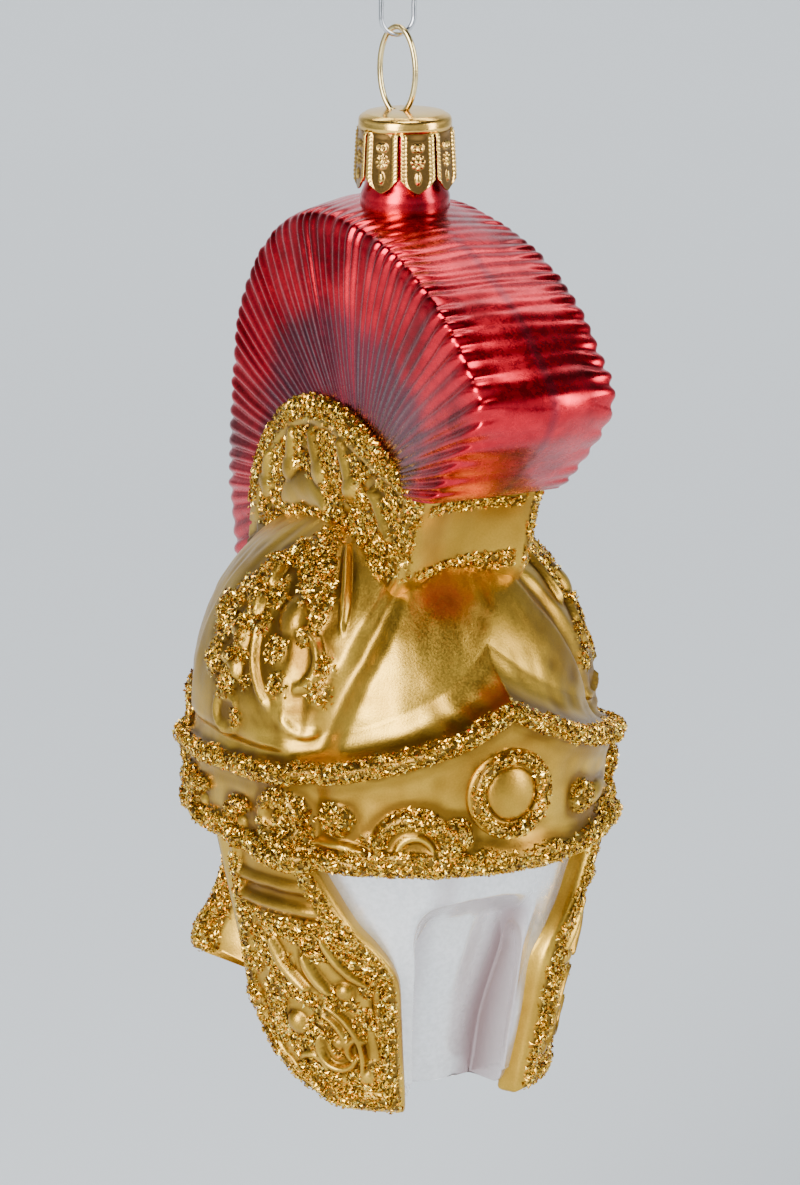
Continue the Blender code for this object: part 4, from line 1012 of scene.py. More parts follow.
def skull_relief(turn, height):
    """How far the skull stands out at its side panels and falls in at its creases, as in the solids."""
    away = from_front(turn)
    crease = bump(away - crease_turn(height), SIDE_CREASE_HALF_ANGLE)
    panel = smoothstep(*SIDE_PANEL_STARTS, away) * (1.0 - smoothstep(*SIDE_PANEL_ENDS, away))
    upper = smoothstep(SIDE_PANEL_FOOT - 0.7 * MM, SIDE_PANEL_FOOT + 0.9 * MM, height)
    crown = 1.0 - smoothstep(*SIDE_RELIEF_FADES, (height - SKULL_EQUATOR) / (SKULL_TOP - SKULL_EQUATOR))
    return crown * (SIDE_PANEL_SWELL * panel * upper - SIDE_CREASE_DEPTH * crease)


def skull_point(turn, height, proud):
    """Points of the skull, standing out by a given depth."""
    scale = skull_scale(height)
    stand = proud + skull_relief(turn, height) * np.minimum(1.0, 1.6 * scale)
    size = (SKULL_HALF_WIDTH * scale + stand, SKULL_HALF_LENGTH * scale + stand)
    return oval(*size, SKULL_SET_BACK, turn, height)


def flat_place(turn, height, middle_turn, middle_height, radius):
    """Millimetres toward the front and up from an ornament's middle, whose turn says which side it is on."""
    side = 1.0 if middle_turn >= 0.0 else -1.0
    swing = (side * (middle_turn - turn) + 180.0) % 360.0 - 180.0
    return np.radians(swing) * radius / MM, height / MM - middle_height


def make_skull(material):
    """One skin from the brow plate's lower edge over its rim and the dome, with all their cast ornament."""
    turn = np.linspace(-180.0, 180.0, SKULL_COLUMNS, endpoint=False)[None, :]
    shares = np.concatenate(
        [np.linspace(0.0, 0.02, 4), np.linspace(0.03, 0.90, 42), np.linspace(0.91, BROW_ROWS[-1].height, 24)]
    )[:, None]
    rim = rim_height(turn)
    band_height = BROW_EDGE + shares * (rim - BROW_EDGE)
    depth = BAND_PROUD_BEHIND + (BROW_PROUD - BAND_PROUD_BEHIND) * front_share(turn)
    proud = through(BROW_ROWS, "proud", shares) * depth
    start = BROW_EDGE + BROW_ROWS[-1].height * (rim - BROW_EDGE)
    climbs = np.linspace(0.0, 1.0, 74)[1:-1, None]
    dome_height = start + (SKULL_TOP - start) * np.sin(np.radians(90.0 * climbs))
    height = np.concatenate([band_height, dome_height])
    share = np.concatenate([shares, np.full((len(climbs), 1), ON_DOME)]) + 0.0 * turn
    proud = np.concatenate([proud, np.zeros_like(dome_height)])
    points = skull_point(turn, height, proud)
    normals = ring_normals(points)
    relief = np.zeros_like(height)
    glue = np.zeros_like(height)
    for side in (1.0, -1.0):
        across, up = flat_place(turn, height, side * PANEL.turn, PANEL.height, PANEL_RADIUS)
        inside = (across > PANEL_REACH[0]) & (across < PANEL_REACH[1])
        relief += inside * cast(across, up, PANEL_RIDGES)
        glue = np.maximum(glue, inside * glued(across, up, PANEL_GLUE))
    for motif in BAND_MOTIFS:
        across, up = flat_place(turn, height, motif.turn, motif.height, MOTIF_RADIUS)
        inside = (np.abs(across) < MOTIF_REACH) & (share < 0.99)
        relief = np.maximum(relief, inside * cast(across, up, MOTIF_RIDGES[motif.name]))
        glue = np.maximum(glue, inside * glued(across, up, MOTIF_GLUE[motif.name]))
    away = np.abs(turn) + 0.0 * height
    over_rim = (height - rim) / BEAD_LINE
    wander = 0.25 * soft_noise(turn / 7.0, np.zeros_like(height), seed=5)
    rim_line = 1.0 - smoothstep(0.75, 1.05, np.abs(over_rim + wander - 0.1) * 1.15)
    edge_line = 1.0 - smoothstep(0.8, 1.1, (height - BROW_EDGE) / EDGE_BEAD + 0.8 * wander)
    near_line = (share < 1.3) * (1.0 - smoothstep(*BAND_LINE_ENDS, away))
    bar = (bump(away - BAND_BAR_TURN, 5.0) > 0.35) & (height < BAND_BAR_TOP)
    glue = np.maximum(glue, np.maximum(rim_line, edge_line) * near_line)
    glue = np.maximum(glue, bar.astype(float))
    bar_top = smoothstep(BAND_BAR_TOP + 1.0 * MM, BAND_BAR_TOP - 1.5 * MM, height)
    relief += 0.5 * MM * bump(away - BAND_BAR_TURN, 4.5) * bar_top
    relief += 0.35 * MM * bump(over_rim, 1.3) * near_line + 0.3 * MM * edge_line * near_line
    wear = 0.10 * MM * soft_noise(turn / 5.0, height / (2.2 * MM), seed=3)
    relief += wear * np.minimum(1.0, 8.0 * skull_scale(height)) + GLUE_BED * glue
    points = points + normals * relief[..., None] * facing_out(points)
    faces = grid_faces(*points.shape[:2], wrap=True, start_cap=True, end_cap=True)
    # Painted shade: brown along the side creases, under the brow's rim and in the hollows of the relief.
    crease = bump(away - crease_turn(height), 5.0) * (share > 1.2)
    under_rim = bump(over_rim + 1.9, 1.2) * (share < 1.0)
    painted_shade = np.maximum(hollows(relief, 5), np.maximum(0.55 * crease, 0.5 * under_rim))
    marks = {"glue": glue, "painted_shade": painted_shade}
    skull = mesh_object("skull_shell", points, faces, material, marks)
    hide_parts("glass_body")
    sow("brow_glitter", points, glue * (share < ON_DOME), seed=11, wrap=True)
    sow("panel_glitter", points, glue * (share == ON_DOME), seed=12, wrap=True)


def make_medallion(material):
    """A smooth dome in a raised ring, curved with the brow."""
    turn = np.linspace(0.0, 2.0 * math.pi, MEDALLION_COLUMNS, endpoint=False)[None, :]
    share = np.concatenate([np.linspace(0.03, 0.94, 40), (0.965, 0.985, 1.0, 1.0)])[:, None]
    ring = bump(share - 0.83, 0.19) ** 0.7
    dome = 0.78 * np.sqrt(np.clip(1.0 - (share / 0.60) ** 2, 0.0, 1.0))
    rise = MEDALLION_RISE * np.maximum(0.12 + 0.72 * ring, dome)
    outer_edge = MEDALLION_RISE * 0.30 * np.clip((1.0 - share) / 0.07, 0.0, 1.0)
    rise = np.where(share > 0.93, outer_edge, rise)
    rise[-1] = -1.2 * MEDALLION_RISE
    relief = rise + 0.0 * turn
    radius = share * MEDALLION_RADIUS
    x, z = radius * np.sin(turn), radius * np.cos(turn)
    front = SKULL_HALF_LENGTH + BROW_PROUD - SKULL_SET_BACK
    y = -front - relief + 0.5 * x**2 / SKULL_HALF_WIDTH
    points = np.stack(np.broadcast_arrays(x, y, MEDALLION_HEIGHT + z), axis=-1)
    glue = np.broadcast_to(bump(share - 0.80, 0.20) > 0.25, relief.shape).astype(float)
    # Painted shade in the ring between the dome and its raised rim.
    painted_shade = np.broadcast_to(bump(share - 0.62, 0.08), relief.shape)
    faces = grid_faces(*points.shape[:2], wrap=True, start_cap=True, end_cap=True)
    marks = {"glue": glue, "painted_shade": painted_shade}
    piece = mesh_object("medallion", points, faces, material, marks)
    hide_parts("glass_body")
    sow("brow_glitter", points, glue, seed=21, wrap=True)


def guard_size(height):
    """Half width and half length of the cone that the cheek guards lie on."""
    share = height / GUARD_LENGTH
    return (
        GUARD_HALF_WIDTH_TIP + (GUARD_HALF_WIDTH_TOP - GUARD_HALF_WIDTH_TIP) * share,
        GUARD_HALF_LENGTH_TIP + (GUARD_HALF_LENGTH_TOP - GUARD_HALF_LENGTH_TIP) * share,
    )


def make_guard(side, material):
    """A thick cheek guard with a rounded edge, its leaves and scrolls standing out of a glittering ground."""
    low, high = GUARD_ROWS[0].height, GUARD_ROWS[-1].height
    share = np.concatenate([np.linspace(low, 0.06, 14), np.linspace(0.07, high, 140)])[:, None]
    height = share * GUARD_LENGTH
    spread = 0.5 - 0.5 * np.cos(np.linspace(0.0, math.pi, GUARD_COLUMNS))
    spread = 0.5 * (spread + np.linspace(0.0, 1.0, GUARD_COLUMNS))[None, :]
    front, back = through(GUARD_ROWS, "front", share), through(GUARD_ROWS, "back", share)
    turn = front + (back - front) * spread
    half_width, half_length = guard_size(height)
    radius = 0.5 * (half_width + half_length)
    to_front = np.radians(turn - front) * radius
    to_back = np.radians(back - turn) * radius
    to_tip = (share - (low + 0.012)) * GUARD_LENGTH + 0.3 * MM + 0.0 * turn
    edge = np.minimum(np.minimum(to_front, to_back), np.maximum(to_tip, 0.0))
    across, up = flat_place(turn, height, GUARD_PLACE.turn, GUARD_PLACE.height, GUARD_RADIUS)
    relief = cast(across, up, GUARD_RIDGES) * smoothstep(0.8 * MM, 2.2 * MM, edge)
    lower_roll, upper_roll = GUARD_ROLL_HEIGHTS
    roll = bump(height - lower_roll, 1.3 * MM) + 0.8 * bump(height - upper_roll, 1.2 * MM)
    relief = np.maximum(relief, 0.9 * MM * roll * smoothstep(1.0 * MM, 3.0 * MM, edge))
    bare = soft_noise(across / 2.1 + 9.0, up / 2.1, seed=15) > 0.16
    clear = uncovered(across, up, GUARD_RIDGES) > 0.85
    glue = (clear & ~bare & (edge > 2.4 * MM) & (height < GUARD_GROUND_TOP)).astype(float)
    ragged = 0.35 * MM * soft_noise(turn / 2.5, height / (1.2 * MM), seed=14)
    line = smoothstep(0.5 * MM, 0.75 * MM, edge) * (1.0 - smoothstep(2.4 * MM, 2.9 * MM, edge + ragged))
    line = line * (height < GUARD_LINE_TOP)
    relief = relief * (1.0 - 0.25 * glue) + 0.55 * MM * bump(edge - 1.6 * MM, 1.7 * MM)
    relief += 0.12 * MM * soft_noise(turn / 6.0, height / (2.0 * MM), seed=8) * (edge > 2.0 * MM)
    glue = np.maximum(glue, line)
    stand = relief + GLUE_BED * glue - edge_round(edge, GUARD_EDGE_ROUND)
    outer = oval(half_width + stand, half_length + stand, 0.0, side * turn, height)
    inset = GUARD_THICKNESS - edge_round(edge, GUARD_EDGE_ROUND)
    inner = oval(half_width - inset, half_length - inset, 0.0, side * turn, height)
    points, faces = closed_sheet(outer, inner, wrap=False)
    if side > 0.0:
        faces = flip(faces)
    # Painted shade in the hollows of the guard's relief.
    painted_shade = hollows(relief, 3) * (edge > 1.0 * MM)
    marks = {"glue": outer_only(glue), "painted_shade": outer_only(painted_shade)}
    name = "right_cheek_guard" if side > 0.0 else "left_cheek_guard"
    piece = mesh_object(name, points, faces, material, marks)
    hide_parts("glass_body")
    sow("guard_glitter", outer, glue, seed=31 + int(side))


def face_bottom(y):
    """The level of the core's underside, which climbs towards the back."""
    climb = smoothstep(-0.3 * GUARD_HALF_LENGTH_TOP, GUARD_HALF_LENGTH_TOP, y)
    return FACE_BOTTOM_FRONT + (FACE_BOTTOM_BACK - FACE_BOTTOM_FRONT) * climb


def channel_floor(x, height):
    """How deep the channel is cut at a place: the level of its floor and how much of it there is."""
    share = height / GUARD_LENGTH
    depth = guard_size(height)[1] - FACE_RECESS
    wall = CHANNEL_HALF_WIDTH * through(CHANNEL_ROWS, "half_width", share)
    groove = through(CHANNEL_ROWS, "groove", share)
    middle = through(CHANNEL_ROWS, "middle", share)
    over = smoothstep(0.0, 0.88, np.abs(x) / wall)
    floor = -depth * (middle + (groove - middle) * over)
    soft = 0.7 * MM + 2.2 * MM * smoothstep(18.0 * MM, 26.0 * MM, height)
    there = 1.0 - smoothstep(wall - soft, wall + 0.7 * soft, np.abs(x))
    return floor, there


def carve(points):
    """Sinks the channel into the front of the core."""
    floor, there = channel_floor(points[..., 0], points[..., 2])
    y = points[..., 1]
    points[..., 1] = y + there * (np.maximum(y, floor) - y)
    return points


def make_face(material):
    """The white core, with its channel and soft lips, closed below by a rounded edge."""
    near = np.concatenate([np.linspace(0.0, 13.0, 14)[:-1], np.linspace(13.0, 30.0, 44)[:-1]])
    half = np.concatenate([near, np.linspace(30.0, 180.0, 90)])
    turn = np.concatenate([half, -half[-2:0:-1]])[None, :]

    def core_point(turn, height, scale):
        half_width, half_length = guard_size(height)
        half_length = half_length + 0.5 * FACE_SET_BACK
        stand = 0.35 * MM * bump(np.abs(turn) - 31.0, 8.0) * smoothstep(24.0 * MM, 18.0 * MM, height)
        size = (scale * (half_width - FACE_RECESS + stand), scale * (half_length - FACE_RECESS + stand))
        return oval(*size, FACE_SET_BACK, turn, height)

    top = BROW_EDGE + BROW_PROUD
    edge = face_bottom(core_point(turn, 0.0, 1.0)[..., 1]) + FACE_EDGE_ROUND
    shares = np.linspace(0.0, 1.0, 90)[:, None]
    sides = core_point(turn + 0.0 * shares, top + (edge - top) * shares, 1.0)
    under = []
    for angle in np.linspace(0.0, 90.0, 10)[1:]:
        inset = 0.115 * (1.0 - math.cos(math.radians(angle)))
        ring = core_point(turn, 0.0 * turn, 1.0 - inset)
        drop = math.sin(math.radians(angle))
        ring[..., 2] = face_bottom(ring[..., 1]) + FACE_EDGE_ROUND * (1.0 - drop)
        under.append(ring)
    for scale in (0.84, 0.76, 0.66, 0.54, 0.42, 0.28, 0.14, 0.04):
        ring = core_point(turn, 0.0 * turn, scale)
        ring[..., 2] = face_bottom(ring[..., 1])
        under.append(ring)
    points = carve(np.concatenate([sides, *under]))
    height = points[..., 2].copy()
    away = np.abs(turn) + 0.0 * height
    ridge = bump(away - 108.0, 4.5) - 0.6 * bump(away - 102.0, 3.0)
    high = smoothstep(9.0 * MM, 13.0 * MM, height)
    outward = np.stack([-np.sin(np.radians(turn)), -np.cos(np.radians(turn)), 0.0 * turn], axis=-1)
    points = points + outward * (0.8 * MM * ridge * high)[..., None]
    wave = soft_noise(turn / 9.0 + 20.0, height / (9.0 * MM), seed=17)
    points = points + outward * (0.45 * MM * wave * smoothstep(90.0, 60.0, away))[..., None]
    x, y = points[..., 0], points[..., 1]
    gilt = smoothstep(80.0, 94.0, away) * smoothstep(4.0 * MM, 8.0 * MM, height)
    gilt = gilt * smoothstep(0.55, 0.8, np.hypot(x, y) / (18.0 * MM))
    wall = CHANNEL_HALF_WIDTH * through(CHANNEL_ROWS, "half_width", height / GUARD_LENGTH)
    # Painted shadow on the front of the channel's walls: full on the wall at the wearer's left, fading out
    # towards the brow, and weaker on the wall at the wearer's right.
    thin_film_and_painted_shade = bump(x - wall + 1.0 * MM, 3.2 * MM) * smoothstep(27.0 * MM, 23.0 * MM, height)
    thin_film_and_painted_shade = np.maximum(thin_film_and_painted_shade, 0.4 * bump(x + wall - 1.4 * MM, 2.4 * MM))
    thin_film_and_painted_shade = thin_film_and_painted_shade * (y < 0.0)
    faces = flip(grid_faces(*points.shape[:2], wrap=True, start_cap=True, end_cap=True))
    marks = {"gilt": gilt, "thin_film_and_painted_shade": thin_film_and_painted_shade}
    piece = mesh_object("face_core", points, faces, material, marks)
    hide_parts("glass_body")


def make_neck_guard(material):
    """The flared collar over the nape, glittering along its edge."""
    share = np.concatenate([np.linspace(0.0, 0.3, 30)[:-1], np.linspace(0.3, 1.1, 50)])[:, None]
    first, last = NECK_GUARD_FROM, 360.0 - NECK_GUARD_FROM
    # The collar's two front ends are folded inward, so that they are thick and can carry glitter.
    fold = 8
    inward = np.linspace(2.4 * MM, 0.0, fold, endpoint=False)
    turned_in = np.concatenate([inward, np.zeros(NECK_GUARD_COLUMNS), inward[::-1]])[None, :]
    turn = np.linspace(first, last, NECK_GUARD_COLUMNS)
    turn = np.concatenate([np.full(fold, first), turn, np.full(fold, last)])[None, :]
    height = NECK_GUARD_EDGE + (BROW_EDGE - NECK_GUARD_EDGE) * share
    narrowing = NECK_GUARD_WAIST_INSET * (1.0 - through(FLARE_ROWS, "flare", share))
    to_side = np.radians(np.minimum(turn - first, last - turn)) * NECK_GUARD_HALF_WIDTH
    to_foot = (height - NECK_GUARD_EDGE) + 0.0 * turn
    edge = np.minimum(to_side, to_foot)
    glue = smoothstep(0.15 * MM, 0.35 * MM, to_foot) * (1.0 - smoothstep(2.1 * MM, 2.6 * MM, edge))
    glue = glue * (height < GUARD_LINE_TOP) * (turned_in < 1.8 * MM)
    relief = 0.35 * MM * bump(edge - 1.3 * MM, 1.7 * MM) + GLUE_BED * glue - turned_in
    relief += 0.15 * MM * soft_noise(turn / 9.0, height / (4.0 * MM), seed=9)
    stand = relief - narrowing - edge_round(edge, 0.7 * MM)
    size = (NECK_GUARD_HALF_WIDTH + stand, NECK_GUARD_HALF_LENGTH + stand)
    outer = oval(*size, SKULL_SET_BACK, turn, height)
    half_width, half_length = guard_size(height)
    sunk = FACE_RECESS + GUARD_THICKNESS
    foot = np.where(share == 0.0, FACE_BOTTOM_BACK, height)
    inner = oval(half_width - sunk, half_length - sunk, FACE_SET_BACK, turn, foot)
    points, faces = closed_sheet(outer, inner, wrap=False)
    marks = {"glue": outer_only(glue)}
    piece = mesh_object("neck_guard", points, flip(faces), material, marks)
    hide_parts("glass_body")
    sow("nape_glitter", outer, glue, seed=41)


def smooth_outline(corners, count):
    """A closed smooth curve through corners, as evenly spaced points."""
    corners = np.array(corners)
    before, after = np.roll(corners, 1, axis=0), np.roll(corners, -1, axis=0)
    slopes = 0.5 * (after - before)
    share = np.linspace(0.0, 1.0, 24, endpoint=False)[:, None, None]
    curve = bend(share, corners, slopes, after, np.roll(slopes, -1, axis=0))
    curve = curve.transpose(1, 0, 2).reshape(-1, 2)
    closed = np.concatenate([curve, curve[:1]])
    steps = np.concatenate([[0.0], np.cumsum(np.linalg.norm(np.diff(closed, axis=0), axis=1))])
    at = np.linspace(0.0, steps[-1], count, endpoint=False)
    return np.stack([np.interp(at, steps, closed[:, k]) for k in (0, 1)], axis=-1)


def make_seat(material):
    """The saddle under the crest: flat sides with tongues, a rounded edge, and a hollow front plate."""
    outline = smooth_outline([(p.length, p.height) for p in SEAT_OUTLINE], SEAT_OUTLINE_POINTS)
    outline = outline * (SEAT_LENGTH, SEAT_HEIGHT) + (SEAT_FRONT, SEAT_FOOT)
    middle = np.array((SEAT_FRONT + 0.5 * SEAT_LENGTH, SEAT_FOOT + 0.35 * SEAT_HEIGHT))
    reach = np.linalg.norm(outline - middle, axis=1)[None, :]
    share = np.concatenate([np.linspace(0.05, 0.90, 46), np.linspace(0.905, 1.0, 12)])[:, None]
    from_plate = (outline[:, 0] - SEAT_FRONT) / SEAT_LENGTH
    from_foot = (outline[:, 1] - SEAT_FOOT) / SEAT_HEIGHT
    narrow = SEAT_FRONT_NARROWING * (1.0 - smoothstep(0.0, 0.2, from_plate))
    flat = middle + (outline - middle) * share[..., None]
    edge = (1.0 - share) * reach * 0.85
    across, up = -flat[..., 0] / MM, flat[..., 1] / MM - SEAT_PLACE.height
    on_top = smoothstep(0.15, 0.45, from_foot)
    relief = cast(across, up, SEAT_RIDGES) * smoothstep(1.6 * MM, 3.2 * MM, edge)
    relief += 0.45 * MM * bump(edge - 2.6 * MM, 1.0 * MM) * on_top
    relief += 0.12 * MM * soft_noise(across / 2.2, up / 2.2, seed=6)
    line = (1.0 - smoothstep(1.9 * MM, 2.6 * MM, edge)) * on_top
    above = flat[..., 1] - SEAT_ARC_LEVEL + SEAT_ARC_FALL * (flat[..., 0] - SEAT_ARC_TURN) ** 2
    bare = soft_noise(across / 1.6, up / 1.6, seed=16) > 0.45
    clear = uncovered(across, up, SEAT_RIDGES) > 0.8
    ground = (above > 0.0) & ~bare & clear & (edge > 3.3 * MM)
    arc = glued(across, up, SEAT_ARC) * (edge > 1.0 * MM)
    glue = np.maximum(np.maximum(ground * 1.0, arc), line)
    relief = np.maximum(relief - 0.3 * MM, -0.5 * MM) * (1.0 - 0.3 * glue) + GLUE_BED * glue
    x = SEAT_HALF_WIDTH - narrow - edge_round(edge, SEAT_EDGE_ROUND) + relief
    right_side = np.stack([-x, flat[..., 0] + 0.0 * x, flat[..., 1] + 0.0 * x], axis=-1)
    left_side = right_side * (-1.0, 1.0, 1.0)
    # The bridge joins the two sides. In front it is a hollow plate with two rows of glitter.
    plate = 1.0 - smoothstep(0.12, 0.17, from_plate)
    plate = plate * smoothstep(0.14, 0.20, from_foot) * (1.0 - smoothstep(0.66, 0.72, from_foot))
    upper_line = bump(outline[:, 1] - PLATE_UPPER_LINE, 1.2 * MM) * (outline[:, 0] < -16.0 * MM)
    bridge, bridge_glue, bridge_painted_shade = [], [], []
    for swing in np.linspace(-1.0, 1.0, 45)[1:-1]:
        hollow = PLATE_HOLLOW * (1.0 - smoothstep(0.15, 0.95, abs(swing))) * plate
        bridge.append(np.stack([x[-1] * swing, outline[:, 0] + hollow, outline[:, 1]], axis=-1))
        from_line = outline[:, 1] - PLATE_LOWER_LINE - 0.4 * MM * swing
        lines = np.maximum(upper_line, bump(from_line, (1.6 + 0.7 * swing) * MM) * plate)
        bridge_glue.append((lines > 0.4) * (1.0 if abs(swing) < 0.86 else 0.0))
        # Painted shade, darkest down the middle of the hollow front plate.
        bridge_painted_shade.append(0.55 * plate * (1.0 - abs(swing)))
    # Painted shade in the hollows of the sides' relief.
    painted_shade = hollows(relief, 3)
    grid = np.concatenate([right_side, bridge, left_side[::-1]])
    grid_glue = np.concatenate([glue, bridge_glue, glue[::-1]])
    grid_painted_shade = np.concatenate([painted_shade, bridge_painted_shade, painted_shade[::-1]])
    faces = grid_faces(*grid.shape[:2], wrap=True, start_cap=True, end_cap=True)
    marks = {"glue": grid_glue, "painted_shade": grid_painted_shade}
    piece = mesh_object("crest_seat", grid, faces, material, marks)
    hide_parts("glass_body")
    rows = len(share)
    seen = grid_glue * (grid[..., 2] > SEAT_GLITTER_FOOT)
    middle_rows = grid[rows - 1 : -rows + 1]
    seen_middle = seen[rows - 1 : -rows + 1] * (middle_rows[..., 1] < -12.0 * MM)
    sown = ((grid[:rows], seen[:rows], 51), (grid[-rows:], seen[-rows:], 52), (middle_rows, seen_middle, 53))
    for points, shown, seed in sown:
        sow("seat_glitter", points, shown, seed, wrap=True)


def make_crest(material):
    """The ribbed fan. Its ribs run out from the hub over both sides and across the crown."""
    first, last = CREST_OUTLINE[0].turn, CREST_OUTLINE[-1].turn
    ribs = round(math.radians(last - first) * CREST_REACH / CREST_RIB_PITCH)
    turn = np.linspace(first, last, ribs * ROWS_PER_RIB + 1)[:, None]
    phase = (turn - first) / (last - first) * ribs
    half = np.concatenate([np.linspace(0.0, 0.5, 22)[:-1], np.linspace(0.5, 0.64, 12)[:-1]])
    half = np.concatenate([half, np.linspace(0.64, 1.0, 18)])
    along = np.concatenate([half, half[-2::-1]])[None, :]
    side = np.concatenate([-np.ones(len(half)), np.ones(len(half) - 1)])[None, :]
    wobble = 0.16 * soft_noise(along * 5.0 + side * 3.0 + 9.0, phase * 0.7, seed=61)
    rib = 1.0 - 2.0 * np.abs(np.cos(math.pi * (phase + wobble))) ** 2.6
    rib = rib * (0.8 + 0.45 * soft_noise(phase * 0.9, side * 4.0 + along * 1.5 + 7.0, seed=64))
    reach = CREST_REACH * through(CREST_OUTLINE, "reach", turn)
    half_width = CREST_HALF_WIDTH * through(CREST_OUTLINE, "width", turn)
    crown = CREST_CROWN * through(CREST_OUTLINE, "crown", turn)
    share = through(CREST_SECTION, "radius", along)
    width = np.maximum(through(CREST_SECTION, "width", along), 0.0)
    crowned = np.clip(through(CREST_SECTION, "crown", along), 0.0, 1.0)
    stand = 0.5 * CREST_RIB_DEPTH * rib * through(CREST_SECTION, "rib", along)
    over = smoothstep(0.55, 0.66, along)
    radius = CREST_INNER_RADIUS + share * (reach - CREST_INNER_RADIUS) + crowned * crown + stand * over
    across = width * half_width + stand * (1.0 - smoothstep(0.66, 0.8, along))
    across = np.where(along >= 1.0, 0.0, np.maximum(across, 0.0))
    angle = np.radians(turn)
    y = CREST_HUB_Y - radius * np.cos(angle)
    z = CREST_HUB_HEIGHT + radius * np.sin(angle)
    points = np.stack([side * across, y, z], axis=-1)
    # Painted reflection: a dark, streaky red on the lower sides, out from the hub to a ragged edge, and
    # painted shade along the crown's crease.
    edge = 0.60 + 0.05 * soft_noise(turn / 1.9, np.full_like(turn, 3.0), seed=62)
    streak = 0.80 + 0.20 * soft_noise(turn / 0.9, share * 3.0, seed=63)
    painted_reflection_and_shade = streak * (1.0 - smoothstep(edge - 0.12, edge + 0.06, share)) * (along < 0.6)
    crown_crease = smoothstep(0.955, 0.995, along) * smoothstep(100.0, 60.0, turn)
    painted_reflection_and_shade = np.maximum(painted_reflection_and_shade, 0.5 * crown_crease)
    faces = flip(grid_faces(*points.shape[:2], wrap=True, start_cap=True, end_cap=True))
    piece = mesh_object("crest", points, faces, material, {"painted_reflection_and_shade": painted_reflection_and_shade})
    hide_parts("glass_body")


def turned_grid(profile, columns):
    """A grid of points turned about the upright axis through points of radius and height."""
    turn = np.linspace(0.0, 2.0 * math.pi, columns, endpoint=False)[None, :]
    radius = np.array([p[0] for p in profile])[:, None]
    height = np.array([p[1] for p in profile])[:, None]
    parts = np.broadcast_arrays(radius * np.cos(turn), radius * np.sin(turn), height)
    return np.stack(parts, axis=-1)


def make_neck(material):
    """The glass neck under the cap, flaring into the crest, with its open bore."""
    middle = next(station for station in CREST_OUTLINE if station.turn == 90.0)
    top = CREST_HUB_HEIGHT + CREST_REACH * middle.reach + CREST_CROWN * middle.crown
    sunk, bore = top - 6.0 * MM, NECK_TOP_RADIUS - WALL
    profile = [(NECK_FOOT_RADIUS, sunk), (NECK_FOOT_RADIUS, top)]
    for share in np.linspace(0.0, 1.0, 12):
        radius = NECK_FOOT_RADIUS + (NECK_TOP_RADIUS - NECK_FOOT_RADIUS) * smoothstep(0.0, 1.0, share)
        profile.append((radius, top + (0.4 + 2.1 * share) * MM))
    profile += [(NECK_TOP_RADIUS, NECK_TOP - 0.3 * MM), (NECK_TOP_RADIUS - 0.3 * MM, NECK_TOP)]
    profile += [(bore + 0.2 * MM, NECK_TOP), (bore, NECK_TOP - 0.3 * MM), (bore, sunk)]
    points = turned_grid(profile, NECK_COLUMNS)
    faces = grid_faces(len(points), NECK_COLUMNS, wrap=True) + joining_faces(len(points), NECK_COLUMNS)
    marks = {"painted_reflection_and_shade": np.zeros(points.shape[:2])}
    piece = mesh_object("crest_neck", points, faces, material, marks)
    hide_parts("glass_body")


def cap_top():
    """The level of the cap's upper face at its rim."""
    return NECK_TOP + CAP_CLEARANCE + CAP_SHEET


def petal_stamp(u, v):
    """Stamping of one petal: u goes from -1 to 1 across it and v from 0 at the slit's top to 1 at its point.

    Returns the relief as a share and how deep in the stamping each place lies.
    """
    half_width, length = 2.2, 7.0
    width = 0.86 * np.sqrt(np.clip(1.0 - np.clip((v - 0.72) / 0.30, 0.0, 1.0) ** 2, 0.0, 1.0))
    to_side = (width - np.abs(u)) * half_width * MM
    border = bump(to_side - 0.10 * MM, 0.26 * MM)
    beads = border * (0.55 + 0.45 * np.cos(v * 2.0 * math.pi * 15.0))
    x = u * half_width
    y = (v - 0.47) * length
    reach = np.hypot(x, y)
    rays = 0.5 + 0.5 * np.cos(8.0 * np.arctan2(y, x))
    star = rays**1.5 * (1.0 - smoothstep(0.75, 0.95, reach)) * smoothstep(0.12, 0.3, reach)
    star = np.maximum(star, 1.0 - smoothstep(0.18, 0.32, reach))
    y = (v - 0.22) * length - 0.1
    curl = np.maximum(*(bump(np.hypot(x - side * 0.34, y) - 0.36, 0.17) for side in (1.0, -1.0)))
    curl = np.maximum(curl, bump(x, 0.16) * bump(y, 0.75))
    drop = 1.0 - smoothstep(0.5, 1.0, np.hypot(x / 0.42, (v - 0.74) * length / 0.85))
    inside = smoothstep(0.30 * MM, 0.45 * MM, to_side)
    motif = inside * np.maximum(np.maximum(star, curl), drop)
    return np.maximum(beads, motif), inside * (1.0 - motif)


